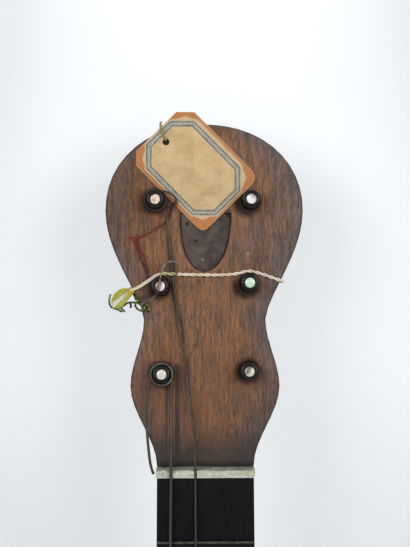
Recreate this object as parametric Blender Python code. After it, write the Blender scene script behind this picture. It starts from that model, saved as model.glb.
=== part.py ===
# A guitar of the early 19th century type: figure-8 head with six friction pegs, ebony
# fingerboard with bar frets, spruce soundboard, rosewood back and ribs, pinned bridge.
# Metres. +Z runs up the neck, the face looks towards -Y, and +X is the treble side.
# The origin is on the back of the neck beside the nut, where a hanger carries the guitar.
import math

import bmesh
import bpy
import numpy as np
from mathutils import Matrix, Vector

# Clearances
GAP = 0.0003                  # glue line, or a seat between two pieces
PEG_CLEARANCE = 0.00035       # round a tuning peg in its bore
PIN_CLEARANCE = 0.0003        # round a bridge pin or the end pin in its bore
LOW_STRING_CLEARANCE = 0.00035  # between a wound string and what it passes over

# Scale, neck and fingerboard
SCALE_LENGTH = 0.640
BODY_FRET = 12                # the neck meets the body at this fret
FRET_COUNT = 17
BOARD_WIDTH_NUT = 0.0497
BOARD_WIDTH_BODY = 0.0590
BOARD_THICKNESS = 0.0045
BOARD_TAIL = 0.0060           # fingerboard beyond the last fret
NECK_DEPTH_NUT = 0.0155       # wood under the fingerboard
NECK_DEPTH_BODY = 0.0185
NECK_ROUNDNESS = 2.1          # 2 is a half ellipse, higher is squarer
HEEL_CAP = 0.0120
HEEL_SWEEP = 0.0420
HEEL_ROUNDNESS = 1.8

# Frets
FRET_THICKNESS = 0.0011
FRET_CROWN = 0.0010           # above the fingerboard
FRET_TANG = 0.0016
FRET_CLEARANCE = 0.00025

# Nut and strings' spacing
NUT_WIDTH = 0.0508
NUT_THICKNESS = 0.0044
NUT_END_ROUND = 0.0012
NUT_ABOVE_BOARD = 0.0021
NUT_GROOVE_DEPTH = 0.0008
NUT_GROOVE_CLEARANCE = 0.00015
NUT_GROOVES = (-0.0214, -0.0131, -0.0051, 0.0041, 0.0128, 0.0214)   # bass to treble
STRING_COUNT = 6
STRING_SPREAD_BRIDGE = 0.0560

# Head: half widths at the heights of its extremes, along the head from its lower edge
HEAD_TILT = math.radians(15.0)
HEAD_LENGTH = 0.1754
CROWN_HALF_WIDTH = 0.0508
CROWN_HEIGHT = 0.1310
CROWN_ROUNDNESS = 2.1         # 2 is a half ellipse, higher is squarer
WAIST_HALF_WIDTH = 0.0312
WAIST_HEIGHT = 0.0750
LOWER_HALF_WIDTH = 0.0383
LOWER_HEIGHT = 0.0408
CROWN_FULLNESS = 0.8          # under 1 makes the side below the crown fuller
HEAD_THICKNESS = 0.0140
HEAD_SQUARENESS = 10.0
HEAD_BLEND = 0.0300           # over this length the neck's round back turns square
VENEER_THICKNESS = 0.0015

# V joint between neck and head plate
V_APEX = 0.0360
V_SLOPE = 1.236

# Shield let into the veneer
SHIELD_POINT = 0.0995
SHIELD_TOP = 0.1295
SHIELD_HALF_WIDTH = 0.0130
SHIELD_OFFSET = 0.0008        # the shield's top lies this far to the treble side
SHIELD_RECESS = 0.0004        # the shield lies this far under the veneer's face

# Tuning pegs: each one's place across the head and along it, drilled by eye
PEG_PLACES = {"bass_lower": (-0.0221, 0.0473), "treble_lower": (0.0225, 0.0486),
              "bass_middle": (-0.0227, 0.0921), "treble_middle": (0.0230, 0.0936),
              "bass_upper": (-0.0250, 0.1362), "treble_upper": (0.0240, 0.1362)}
PEG_TIP_HEIGHT = 0.0130       # above the veneer's face
PEG_TIP_RADIUS = 0.0045
PEG_TAPER = 1.0 / 60.0        # radius gained for each metre towards the thumb piece
PEG_TIP_CHAMFER = 0.0010
PEG_STANDOFF = 0.0026         # collar behind the head plate
PEG_COLLAR_RADIUS = 0.0066
PEG_COLLAR_LENGTH = 0.0032
PEG_STEM_RADIUS = 0.0034
PEG_STEM_LENGTH = 0.0030
THUMB_LENGTH = 0.0200
THUMB_WIDTH = 0.0250
THUMB_THICKNESS = 0.0066
PEG_SIDES = 16
STRING_HOLE_RADIUS = 0.0008
STRING_HOLE_HEIGHT = 0.0090
EYE_RADIUS = 0.00265
EYE_THICKNESS = 0.0012
EYE_CLEARANCE = 0.0002
PEG_TURNS = (20.0, -65.0, 75.0, 10.0, -35.0, 100.0)   # degrees, how each peg was left

# Body
BODY_LENGTH = 0.440
NECK_SEAT_HALF_WIDTH = 0.0300  # the outline is flat where the heel sits against it
UPPER_HALF_WIDTH = 0.114
UPPER_REACH = 0.082           # from the neck joint to the upper bout's widest place
WAIST_BODY_HALF_WIDTH = 0.085
WAIST_REACH = 0.168
BOUT_HALF_WIDTH = 0.149
BOUT_REACH = 0.318
UPPER_ROUNDNESS = 2.1
BOUT_ROUNDNESS = 2.15
DEPTH_AT_NECK = 0.078
DEPTH_AT_TAIL = 0.088
SOUNDBOARD_THICKNESS = 0.0026
BACK_THICKNESS = 0.0028
RIB_THICKNESS = 0.0022
LINING_WIDTH = 0.0055         # the glued-in strips along a rib's edges
LINING_HEIGHT = 0.0120
LINING_FADE = 0.0002          # what is left of the strips beside a block
SOUNDHOLE_RADIUS = 0.0415
SOUNDHOLE_BELOW_BOARD = 0.0015
NECK_BLOCK_WIDTH = 0.060
NECK_BLOCK_LENGTH = 0.024
TAIL_BLOCK_WIDTH = 0.056
TAIL_BLOCK_LENGTH = 0.016
TENON_ROOT = 0.0140           # width of the heel's dovetail where it leaves the heel
TENON_END = 0.0200
TENON_LENGTH = 0.0150
TENON_DEPTH = 0.0440
TENON_GRIP = 0.0065           # how far the tenon is made up into the heel
BAR_WIDTH = 0.0060
TOP_BAR_HEIGHT = 0.0150
BACK_BAR_HEIGHT = 0.0130
BAR_ARCH = 0.45               # height left at a bar's ends, as a share of its middle
HOLE_TO_BAR = 0.0120
BACK_BAR_REACHES = (0.088, 0.190, 0.330)   # from the neck joint

# Bridge, saddle, pins
BRIDGE_LENGTH = 0.084
BRIDGE_WIDTH = 0.0250
BRIDGE_HEIGHT = 0.0080
WING_LENGTH = 0.0360
WING_CURL = 0.0050
SADDLE_OFFSET = 0.0060        # saddle's line above the bridge's middle
SADDLE_LENGTH = 0.0700
SADDLE_THICKNESS = 0.0026
SADDLE_SLOT_DEPTH = 0.0035
PIN_LINE = 0.0120             # pins below the saddle
PIN_SHANK_RADIUS = 0.0024
PIN_SHANK_TAPER = 0.0005
PIN_SHANK_LENGTH = 0.0200
PIN_HEAD_RADIUS = 0.0036
PIN_HEAD_LENGTH = 0.0050
ACTION_BODY = 0.0042          # under the strings, above the fingerboard, at the body fret
END_PIN_RADIUS = 0.0040
END_PIN_HEAD_RADIUS = 0.0070
END_PIN_HEAD_LENGTH = 0.0110
END_PIN_SHANK = 0.0160

# Strings, twine and label
SIXTH_RADIUS = 0.00080
FOURTH_RADIUS = 0.00055
LOOSE_RADIUS = 0.00070
STRING_SIDES = 2              # bevel resolution
WINDING_TURNS = 1.75
WINDING_POINTS = 10           # for each turn
WINDING_SPREAD = 1.25         # pitch, in string diameters
SIXTH_BEND = math.radians(30)   # how far it follows its peg past the peg's side
TWINE_RADIUS = 0.00088
TWINE_STEP = 0.0044
KNOT_HEIGHT = 0.0903          # along the head
KNOT_RADIUS = 0.0021
KNOT_STANDOFF = 0.0027        # its middle, from the head's edge
TASSEL_LENGTH = 0.0130
TASSEL_SLOPE = math.radians(26)
TASSEL_RADIUS = 0.0036
LABEL_LENGTH = 0.0541
LABEL_WIDTH = 0.0407
LABEL_THICKNESS = 0.0007
LABEL_CORNERS = ((0.0034, 4), (0.0046, 4), (0.0067, 1), (0.0050, 1))   # radius, segments
LABEL_CENTRE = (-0.0051, 0.1529)
LABEL_TURN = math.radians(-45.7)
LABEL_HOLE_RADIUS = 0.0016
LABEL_HOLE = (-0.0197, -0.0009)

# Places that follow from the sizes above
NECK_LENGTH = SCALE_LENGTH * (1 - 2 ** (-BODY_FRET / 12))
NECK_TOP = -NECK_DEPTH_NUT
BOARD_TOP = NECK_TOP - GAP - BOARD_THICKNESS
ACTION_NUT = NUT_ABOVE_BOARD - NUT_GROOVE_DEPTH + LOW_STRING_CLEARANCE
HEAD_START = NUT_THICKNESS + GAP
FACE = GAP + VENEER_THICKNESS
LAST_FRET = SCALE_LENGTH * (1 - 2 ** (-FRET_COUNT / 12))
BOARD_END = LAST_FRET + BOARD_TAIL
SOUNDHOLE_Z = -(BOARD_END + SOUNDHOLE_BELOW_BOARD + SOUNDHOLE_RADIUS)
BODY_TOP = -NECK_LENGTH
BODY_BOTTOM = BODY_TOP - BODY_LENGTH
BRIDGE_TOP = NECK_TOP - GAP - BRIDGE_HEIGHT
SADDLE_Z = -SCALE_LENGTH


# Scene, finishes and objects

def clear_scene():
    for item in list(bpy.data.objects):
        bpy.data.objects.remove(item, do_unlink=True)


def finish(name, colour, roughness, metallic=0.0):
    made = bpy.data.materials.new(name)
    made.use_nodes = True
    shader = made.node_tree.nodes["Principled BSDF"]
    shader.inputs["Base Color"].default_value = (*colour, 1.0)
    shader.inputs["Roughness"].default_value = roughness
    shader.inputs["Metallic"].default_value = metallic
    return made


def place(name, data, material=None, parent=None):
    item = bpy.data.objects.new(name, data)
    bpy.context.scene.collection.objects.link(item)
    if material is not None and not data.materials:
        data.materials.append(material)
    item.parent = parent
    return item


def guide(name, mesh, parent=None):
    """A cutter: it shapes other pieces and isn't one itself."""
    item = place(name, mesh, parent=parent)
    item.hide_render = True
    item.display_type = "WIRE"
    return item


def shape(item, operation, *cutters):
    for cutter in cutters:
        step = item.modifiers.new(cutter.name, "BOOLEAN")
        step.operation = operation
        step.object = cutter


def settled(item):
    """The item's mesh with its modifiers carried out. The item itself goes."""
    graph = bpy.context.evaluated_depsgraph_get()
    mesh = bpy.data.meshes.new_from_object(item.evaluated_get(graph))
    bpy.data.objects.remove(item, do_unlink=True)
    return mesh


# Solids

def to_mesh(name, bm, smooth_angle=None):
    bmesh.ops.recalc_face_normals(bm, faces=bm.faces)
    mesh = bpy.data.meshes.new(name)
    bm.to_mesh(mesh)
    bm.free()
    if smooth_angle is not None:
        mesh.shade_smooth()
        mesh.set_sharp_from_angle(angle=math.radians(smooth_angle))
    return mesh


def loft(name, sections, smooth_angle=None):
    """A closed solid through rings that all have the same number of points."""
    bm = bmesh.new()
    rings = [[bm.verts.new(point) for point in ring] for ring in sections]
    count = len(rings[0])
    for low, high in zip(rings, rings[1:]):
        for i in range(count):
            j = (i + 1) % count
            bm.faces.new((low[i], low[j], high[j], high[i]))
    bm.faces.new(rings[0])
    bm.faces.new(rings[-1])
    return to_mesh(name, bm, smooth_angle)


def prism(name, outline, low, high, smooth_angle=None):
    """An outline in X and Y, raised along Z."""
    bm = bmesh.new()
    face = bm.faces.new([bm.verts.new((x, y, low)) for x, y in outline])
    raised = bmesh.ops.extrude_face_region(bm, geom=[face])["geom"]
    corners = [v for v in raised if isinstance(v, bmesh.types.BMVert)]
    bmesh.ops.translate(bm, verts=corners, vec=(0, 0, high - low))
    return to_mesh(name, bm, smooth_angle)


def box(name, low, high):
    outline = [(low[0], low[1]), (high[0], low[1]), (high[0], high[1]), (low[0], high[1])]
    return prism(name, outline, low[2], high[2])


def turned(name, profile, sides, smooth_angle=40):
    """A profile of (radius, height), from axis to axis, spun round Z."""
    bm = bmesh.new()
    points = [bm.verts.new((r, 0, h)) for r, h in profile]
    edges = [bm.edges.new(pair) for pair in zip(points, points[1:])]
    bmesh.ops.spin(bm, geom=points + edges, axis=(0, 0, 1), cent=(0, 0, 0),
                   angle=math.tau, steps=sides, use_merge=True)
    bmesh.ops.remove_doubles(bm, verts=bm.verts, dist=0.00001)
    return to_mesh(name, bm, smooth_angle)


def rods(name, ends, sides):
    """Straight or tapered rods in one mesh: (start, end, start radius, end radius)."""
    bm = bmesh.new()
    for start, end, r_start, r_end in ends:
        way = Vector(end) - Vector(start)
        turn = way.to_track_quat("Z", "Y").to_matrix().to_4x4()
        middle = Matrix.Translation((Vector(start) + Vector(end)) / 2)
        bmesh.ops.create_cone(bm, cap_ends=True, segments=sides, radius1=r_start,
                              radius2=r_end, depth=way.length, matrix=middle @ turn)
    return to_mesh(name, bm)


def ease(t):
    return t * t * (3 - 2 * t)


def between(a, b, t):
    return a + (b - a) * t


# Neck and head

def board_half_width(z):
    return between(BOARD_WIDTH_NUT, BOARD_WIDTH_BODY, -z / NECK_LENGTH) / 2


def neck_depth(z):
    return between(NECK_DEPTH_NUT, NECK_DEPTH_BODY, -z / NECK_LENGTH)


def head_half_width(v):
    if v > CROWN_HEIGHT:
        rise = (v - CROWN_HEIGHT) / (HEAD_LENGTH - CROWN_HEIGHT)
        share = max(0.0, 1 - rise ** CROWN_ROUNDNESS)
        return CROWN_HALF_WIDTH * share ** (1 / CROWN_ROUNDNESS)
    if v > WAIST_HEIGHT:
        t = ((v - WAIST_HEIGHT) / (CROWN_HEIGHT - WAIST_HEIGHT)) ** CROWN_FULLNESS
        return between(WAIST_HALF_WIDTH, CROWN_HALF_WIDTH, ease(t))
    if v > LOWER_HEIGHT:
        t = (v - LOWER_HEIGHT) / (WAIST_HEIGHT - LOWER_HEIGHT)
        return between(LOWER_HALF_WIDTH, WAIST_HALF_WIDTH, ease(t))
    return between(BOARD_WIDTH_NUT / 2, LOWER_HALF_WIDTH, ease(v / LOWER_HEIGHT))


def head_heights():
    """Heights of the head's outline points, closer together round the crown."""
    rises = [(0.0, LOWER_HEIGHT, 8), (LOWER_HEIGHT, WAIST_HEIGHT, 7),
             (WAIST_HEIGHT, CROWN_HEIGHT, 9)]
    heights = [between(a, b, i / n) for a, b, n in rises for i in range(n)]
    for i in range(12):
        heights.append(between(CROWN_HEIGHT, HEAD_LENGTH, math.sin(math.radians(7.9 * i))))
    return heights


def head_outline():
    right = [(head_half_width(v), v) for v in head_heights()]
    return right + [(-x, v) for x, v in reversed(right)]


def head_point(x, v, w):
    """World place of a point across the head, along it, and out of its core's front."""
    return Vector((x, NECK_TOP + v * math.sin(HEAD_TILT) - w * math.cos(HEAD_TILT),
                   HEAD_START + v * math.cos(HEAD_TILT) + w * math.sin(HEAD_TILT)))


def d_ring(y, z, tilt, half_width, depth, squareness, steps=12):
    """A D section: flat in front, and round or nearly square behind."""
    ring = []
    for i in range(steps + 1):
        a = math.pi * i / steps
        across = math.copysign(abs(math.cos(a)) ** (2 / squareness), math.cos(a))
        back = depth * abs(math.sin(a)) ** (2 / squareness)
        ring.append((half_width * across, y + back * math.cos(tilt), z - back * math.sin(tilt)))
    return ring


def blank_sections():
    """Neck and head as one blank, from the heel to the crown."""
    rings = []
    heel_end = BODY_TOP + HEEL_CAP
    for z in (BODY_TOP + GAP, heel_end):
        rings.append(d_ring(NECK_TOP, z, 0, board_half_width(z), DEPTH_AT_NECK, HEEL_ROUNDNESS))
    for i in range(1, 9):
        a = math.pi / 2 * i / 8
        z = heel_end + HEEL_SWEEP * (1 - math.cos(a))
        depth = between(DEPTH_AT_NECK, neck_depth(z), math.sin(a))
        squareness = between(HEEL_ROUNDNESS, NECK_ROUNDNESS, math.sin(a))
        rings.append(d_ring(NECK_TOP, z, 0, board_half_width(z), depth, squareness))
    for z in (between(heel_end + HEEL_SWEEP, 0.0, 0.5), 0.0):
        rings.append(d_ring(NECK_TOP, z, 0, board_half_width(z), neck_depth(z), NECK_ROUNDNESS))
    mitre = HEAD_TILT / 2
    rings.append(d_ring(NECK_TOP, HEAD_START, mitre, BOARD_WIDTH_NUT / 2,
                        NECK_DEPTH_NUT / math.cos(mitre), NECK_ROUNDNESS))
    for v in head_heights()[1:]:
        t = ease(min(1.0, v / HEAD_BLEND))
        foot = head_point(0, v, 0)
        depth = between(NECK_DEPTH_NUT, HEAD_THICKNESS, t)
        squareness = between(NECK_ROUNDNESS, HEAD_SQUARENESS, t)
        rings.append(d_ring(foot.y, foot.z, HEAD_TILT, head_half_width(v), depth, squareness))
    return rings


def v_side(name, apex, frame):
    """Everything on the neck's side of the V joint."""
    wide = BOARD_WIDTH_BODY
    shoulder = apex - V_SLOPE * wide
    foot = -2 * NECK_LENGTH
    outline = [(-wide, foot), (wide, foot), (wide, shoulder), (0, apex), (-wide, shoulder)]
    return guide(name, prism(name, outline, -3 * DEPTH_AT_NECK, NUT_WIDTH), frame)


def shaft_radius(w):
    """Radius of a tuning peg at a height over the head core's front."""
    return PEG_TIP_RADIUS + (FACE + PEG_TIP_HEIGHT - w) * PEG_TAPER


def shield_outline(inset):
    right = []
    height = SHIELD_TOP - SHIELD_POINT
    for i in range(1, 13):
        t = (i / 12) ** 1.5
        half = SHIELD_HALF_WIDTH * math.sin(math.pi / 2 * math.sqrt(t)) - inset
        right.append((half, SHIELD_POINT + t * height - (inset if i == 12 else 0)))
    outline = [(0.0, SHIELD_POINT + inset)] + right + [(-x, v) for x, v in reversed(right)]
    return [(x + SHIELD_OFFSET * (v - SHIELD_POINT) / height, v) for x, v in outline]


def make_neck_and_head(frame, woods):
    blank = loft("blank", blank_sections(), 35)
    blank.materials.append(woods["neck"])
    rim = GAP * math.hypot(1, V_SLOPE)
    neck = place("neck", blank)
    shape(neck, "INTERSECT", v_side("v_joint_neck_side", V_APEX, frame))
    bores = []
    for x, v in PEG_PLACES.values():
        low, high = -2 * HEAD_THICKNESS, 2 * HEAD_THICKNESS
        bores.append(((x, v, low), (x, v, high), shaft_radius(low) + PEG_CLEARANCE,
                      shaft_radius(high) + PEG_CLEARANCE))
    peg_bores = guide("peg_bores", rods("peg_bores", bores, 24), frame)
    plate_mesh = blank.copy()
    plate_mesh.materials.clear()
    plate = place("head_plate", plate_mesh, woods["head_core"])
    shape(plate, "DIFFERENCE", v_side("v_joint_head_side", V_APEX + rim, frame), peg_bores)
    veneer_mesh = prism("head_veneer", head_outline(), GAP, FACE)
    veneer = place("head_veneer", veneer_mesh, woods["veneer"], frame)
    shield_cut = prism("shield_cut", shield_outline(-GAP), 0, 2 * FACE)
    shape(veneer, "DIFFERENCE", peg_bores, guide("shield_cut", shield_cut, frame))
    shield = prism("shield_inlay", shield_outline(0), GAP, FACE - SHIELD_RECESS)
    place("shield_inlay", shield, woods["shield"], frame)
    return neck


# Tuning pegs

def peg_profile():
    tip = FACE + PEG_TIP_HEIGHT
    seat = tip - EYE_THICKNESS - GAP
    rim = EYE_RADIUS + EYE_CLEARANCE
    collar = -HEAD_THICKNESS - PEG_STANDOFF
    stem = collar - PEG_COLLAR_LENGTH
    thumb = stem - PEG_STEM_LENGTH
    half = PEG_COLLAR_LENGTH / 2
    return [(0, seat), (rim, seat), (rim, tip), (PEG_TIP_RADIUS - PEG_TIP_CHAMFER, tip),
            (PEG_TIP_RADIUS, tip - PEG_TIP_CHAMFER), (shaft_radius(collar), collar),
            (PEG_COLLAR_RADIUS * 0.9, collar), (PEG_COLLAR_RADIUS, collar - half),
            (PEG_COLLAR_RADIUS * 0.9, stem), (PEG_STEM_RADIUS, stem - PEG_STEM_LENGTH / 2),
            (PEG_STEM_RADIUS, thumb - THUMB_LENGTH / 4), (0, thumb - THUMB_LENGTH / 4)]


def peg_mesh(ebony):
    """One peg: turned shaft and collar, with a flat oval thumb piece."""
    thumb = -HEAD_THICKNESS - PEG_STANDOFF - PEG_COLLAR_LENGTH - PEG_STEM_LENGTH
    bm = bmesh.new()
    bmesh.ops.create_uvsphere(bm, u_segments=16, v_segments=8, radius=0.5)
    bmesh.ops.scale(bm, verts=bm.verts, vec=(THUMB_WIDTH, THUMB_THICKNESS, THUMB_LENGTH))
    bmesh.ops.translate(bm, verts=bm.verts, vec=(0, 0, thumb - THUMB_LENGTH / 2))
    leaf = guide("thumb_piece", to_mesh("thumb_piece", bm, 40))
    hole_height = FACE + STRING_HOLE_HEIGHT
    reach = 2 * PEG_TIP_RADIUS
    hole = guide("string_hole", rods("string_hole", [((-reach, 0, hole_height),
                                                      (reach, 0, hole_height),
                                                      STRING_HOLE_RADIUS,
                                                      STRING_HOLE_RADIUS)], 8))
    whole = place("peg_blank", turned("peg", peg_profile(), PEG_SIDES), ebony)
    shape(whole, "UNION", leaf)
    shape(whole, "DIFFERENCE", hole)
    mesh = settled(whole)
    for cutter in (leaf, hole):
        bpy.data.objects.remove(cutter, do_unlink=True)
    return mesh


def make_pegs(frame, woods):
    tip = FACE + PEG_TIP_HEIGHT
    bevel = EYE_CLEARANCE
    eye_profile = [(0, tip), (EYE_RADIUS - bevel, tip), (EYE_RADIUS, tip - bevel),
                   (EYE_RADIUS, tip - EYE_THICKNESS), (0, tip - EYE_THICKNESS)]
    eye_mesh = turned("peg_eye", eye_profile, PEG_SIDES)
    mesh = peg_mesh(woods["ebony"])
    for (word, (x, v)), angle in zip(PEG_PLACES.items(), PEG_TURNS):
        peg = place(f"peg_{word}", mesh, woods["ebony"], frame)
        peg.location = (x, v, 0)
        peg.rotation_euler = (0, 0, math.radians(angle))
        place(f"peg_{word}_eye", eye_mesh, woods["pearl"], peg)


# Fingerboard, frets and nut

def fret_places():
    return [-SCALE_LENGTH * (1 - 2 ** (-k / 12)) for k in range(1, FRET_COUNT + 1)]


def across_board(name, profile, smooth_angle=None):
    """A side view of (y, z) points, as wide as the fingerboard at each point."""
    left = [(-board_half_width(z), y, z) for y, z in profile]
    right = [(board_half_width(z), y, z) for y, z in profile]
    return loft(name, [left, right], smooth_angle)


def make_board(woods):
    bottom = NECK_TOP - GAP
    slot_floor = BOARD_TOP + FRET_TANG + FRET_CLEARANCE
    slot_half = FRET_THICKNESS / 2 + FRET_CLEARANCE
    profile = [(bottom, -GAP), (BOARD_TOP, -GAP)]
    for z in fret_places():
        profile += [(BOARD_TOP, z + slot_half), (slot_floor, z + slot_half),
                    (slot_floor, z - slot_half), (BOARD_TOP, z - slot_half)]
    profile += [(BOARD_TOP, -BOARD_END), (bottom, -BOARD_END)]
    place("fingerboard", across_board("fingerboard", profile), woods["ebony"])
    half = FRET_THICKNESS / 2
    crown = BOARD_TOP - FRET_CROWN
    for k, z in enumerate(fret_places(), 1):
        tang = BOARD_TOP + FRET_TANG
        side = [(tang, z + half), (crown + half / 2, z + half), (crown, z + half / 2),
                (crown, z - half / 2), (crown + half / 2, z - half), (tang, z - half)]
        place(f"fret_{k:02d}", across_board("fret", side), woods["fret"])


def make_nut(woods):
    """Bone block with six string grooves and a rounded top."""
    foot = NECK_TOP - GAP
    top = BOARD_TOP - NUT_ABOVE_BOARD
    half = FOURTH_RADIUS + NUT_GROOVE_CLEARANCE
    rings = []
    stops = [(0.0, 0.75), (0.12, 0.28), (0.3, 0.0), (0.7, 0.0), (0.88, 0.28), (1.0, 0.75)]
    for along, drop in stops:
        z = along * NUT_THICKNESS
        crest = top + drop * NUT_GROOVE_DEPTH
        end = NUT_WIDTH / 2 - drop * NUT_END_ROUND
        ring = [(-end, foot, z), (-end, crest, z)]
        for x in NUT_GROOVES:
            floor = top + NUT_GROOVE_DEPTH
            ring += [(x - half, crest, z), (x - half / 2, floor, z),
                     (x + half / 2, floor, z), (x + half, crest, z)]
        ring += [(end, crest, z), (end, foot, z)]
        rings.append(ring)
    place("nut", loft("nut", rings), woods["bone"])


# Body

def half_outline():
    """Treble half of the body's outline, from the neck joint down to the tail, as (x, z)."""
    points = [(0.0, BODY_TOP)]
    for i in range(13):
        a = math.pi / 2 * i / 12
        x = between(NECK_SEAT_HALF_WIDTH, UPPER_HALF_WIDTH, math.sin(a) ** (2 / UPPER_ROUNDNESS))
        rise = UPPER_REACH * math.cos(a) ** (2 / UPPER_ROUNDNESS)
        points.append((x, BODY_TOP - UPPER_REACH + (rise if i < 12 else 0)))
    for i in range(1, 9):
        x = between(UPPER_HALF_WIDTH, WAIST_BODY_HALF_WIDTH, ease(i / 8))
        points.append((x, BODY_TOP - between(UPPER_REACH, WAIST_REACH, i / 8)))
    for i in range(1, 11):
        x = between(WAIST_BODY_HALF_WIDTH, BOUT_HALF_WIDTH, ease(i / 10))
        points.append((x, BODY_TOP - between(WAIST_REACH, BOUT_REACH, i / 10)))
    for i in range(1, 15):
        a = math.pi / 2 * i / 14
        x = BOUT_HALF_WIDTH * max(0.0, math.cos(a)) ** (2 / BOUT_ROUNDNESS)
        drop = (BODY_LENGTH - BOUT_REACH) * math.sin(a) ** (2 / BOUT_ROUNDNESS)
        points.append((x if i < 14 else 0.0, BODY_TOP - BOUT_REACH - drop))
    return np.array(points)


def inward(points, distance):
    """The half outline moved in. The distance is one value, or one for each point."""
    mirrored = np.vstack([points[1] * (-1, 1), points, points[-2] * (-1, 1)])
    along = mirrored[2:] - mirrored[:-2]
    normals = np.stack([along[:, 1], -along[:, 0]], axis=1)
    normals /= np.linalg.norm(normals, axis=1)[:, None]
    return points + normals * np.reshape(distance, (-1, 1))


def full_outline(inset=0.0):
    right = inward(half_outline(), inset)
    left = right[1:-1][::-1] * (-1, 1)
    return np.vstack([right, left])


def back_face(z):
    """Outer face of the back plate: the body grows deeper towards the tail."""
    return NECK_TOP + between(DEPTH_AT_NECK, DEPTH_AT_TAIL, (BODY_TOP - z) / BODY_LENGTH)


def front_inside(z):
    return NECK_TOP + SOUNDBOARD_THICKNESS


def back_inside(z):
    return back_face(z) - BACK_THICKNESS


def plate(name, outline, front, back):
    """A plate between two faces, each given as y at a height z."""
    near = [(x, front(z), z) for x, z in outline]
    far = [(x, back(z), z) for x, z in outline]
    return loft(name, [near, far], 30)


def inner_space(name, inset):
    """The body's inner space between the plates, for trimming what stands in it."""
    mesh = plate(name, full_outline(inset), lambda z: front_inside(z) + GAP,
                 lambda z: back_inside(z) - GAP)
    return guide(name, mesh)


def tenon_half_width(depth):
    """Half width of the heel's dovetail at a depth into the body."""
    return between(TENON_ROOT, TENON_END, depth / TENON_LENGTH) / 2


def make_rib(name, side, woods, cutters):
    """Bent rib with its two linings, which stop beside the end blocks."""
    outer = half_outline()
    block = np.where(outer[:, 1] > (BODY_TOP + BODY_BOTTOM) / 2, NECK_BLOCK_WIDTH,
                     TAIL_BLOCK_WIDTH) / 2
    clear = outer[:, 0] > block
    clear = clear & np.roll(clear, 1) & np.roll(clear, -1)
    strip = RIB_THICKNESS + np.where(clear, LINING_WIDTH, LINING_FADE)
    wall = inward(outer, RIB_THICKNESS)
    strips = inward(outer, strip)
    for line, depth in ((outer, 0.0), (wall, RIB_THICKNESS), (strips, RIB_THICKNESS + LINING_FADE)):
        line[0, 0] = tenon_half_width(depth) + GAP
        line[-1, 0] = GAP / 2
    rings = []
    for (xo, zo), (xw, zw), (xs, zs) in zip(outer, wall, strips):
        front = front_inside(zo) + GAP
        back = back_inside(zs) - GAP
        step = LINING_HEIGHT + LINING_WIDTH
        rings.append([(xo, front, zo), (xo, back_inside(zo) - GAP, zo), (xs, back, zs),
                      (xs, back - LINING_HEIGHT, zs), (xw, back - step, zw),
                      (xw, front + step, zw), (xs, front + LINING_HEIGHT, zs),
                      (xs, front, zs)])
    rings = [[(side * x, y, z) for x, y, z in ring] for ring in rings]
    rib = place(name, loft(name, rings, 30), woods["rosewood"])
    shape(rib, "DIFFERENCE", *cutters)


def arched_bar(name, z, height, on_back, woods, space):
    """Cross bar glued to a plate, lower towards its ends."""
    reach = BOUT_HALF_WIDTH
    middle = np.interp(BODY_TOP - z, (0, UPPER_REACH, WAIST_REACH, BOUT_REACH, BODY_LENGTH),
                       (0, UPPER_HALF_WIDTH, WAIST_BODY_HALF_WIDTH, BOUT_HALF_WIDTH, 0))
    rings = []
    for along in (z - BAR_WIDTH / 2, z + BAR_WIDTH / 2):
        seat = back_face(along) if on_back else NECK_TOP
        into = -1 if on_back else 1
        depth = BACK_THICKNESS if on_back else SOUNDBOARD_THICKNESS
        ring = [(-reach, seat, along), (reach, seat, along)]
        for i in range(9):
            x = middle * (1 - i / 4)
            t = ease(min(1.0, (1 - abs(x) / middle) * 2))
            rise = depth + GAP + height * between(BAR_ARCH, 1.0, t)
            ring.append((reach if i == 0 else -reach if i == 8 else x,
                         seat + into * rise, along))
        rings.append(ring)
    bar = place(name, loft(name, rings), woods["spruce"])
    shape(bar, "INTERSECT", space)


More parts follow.
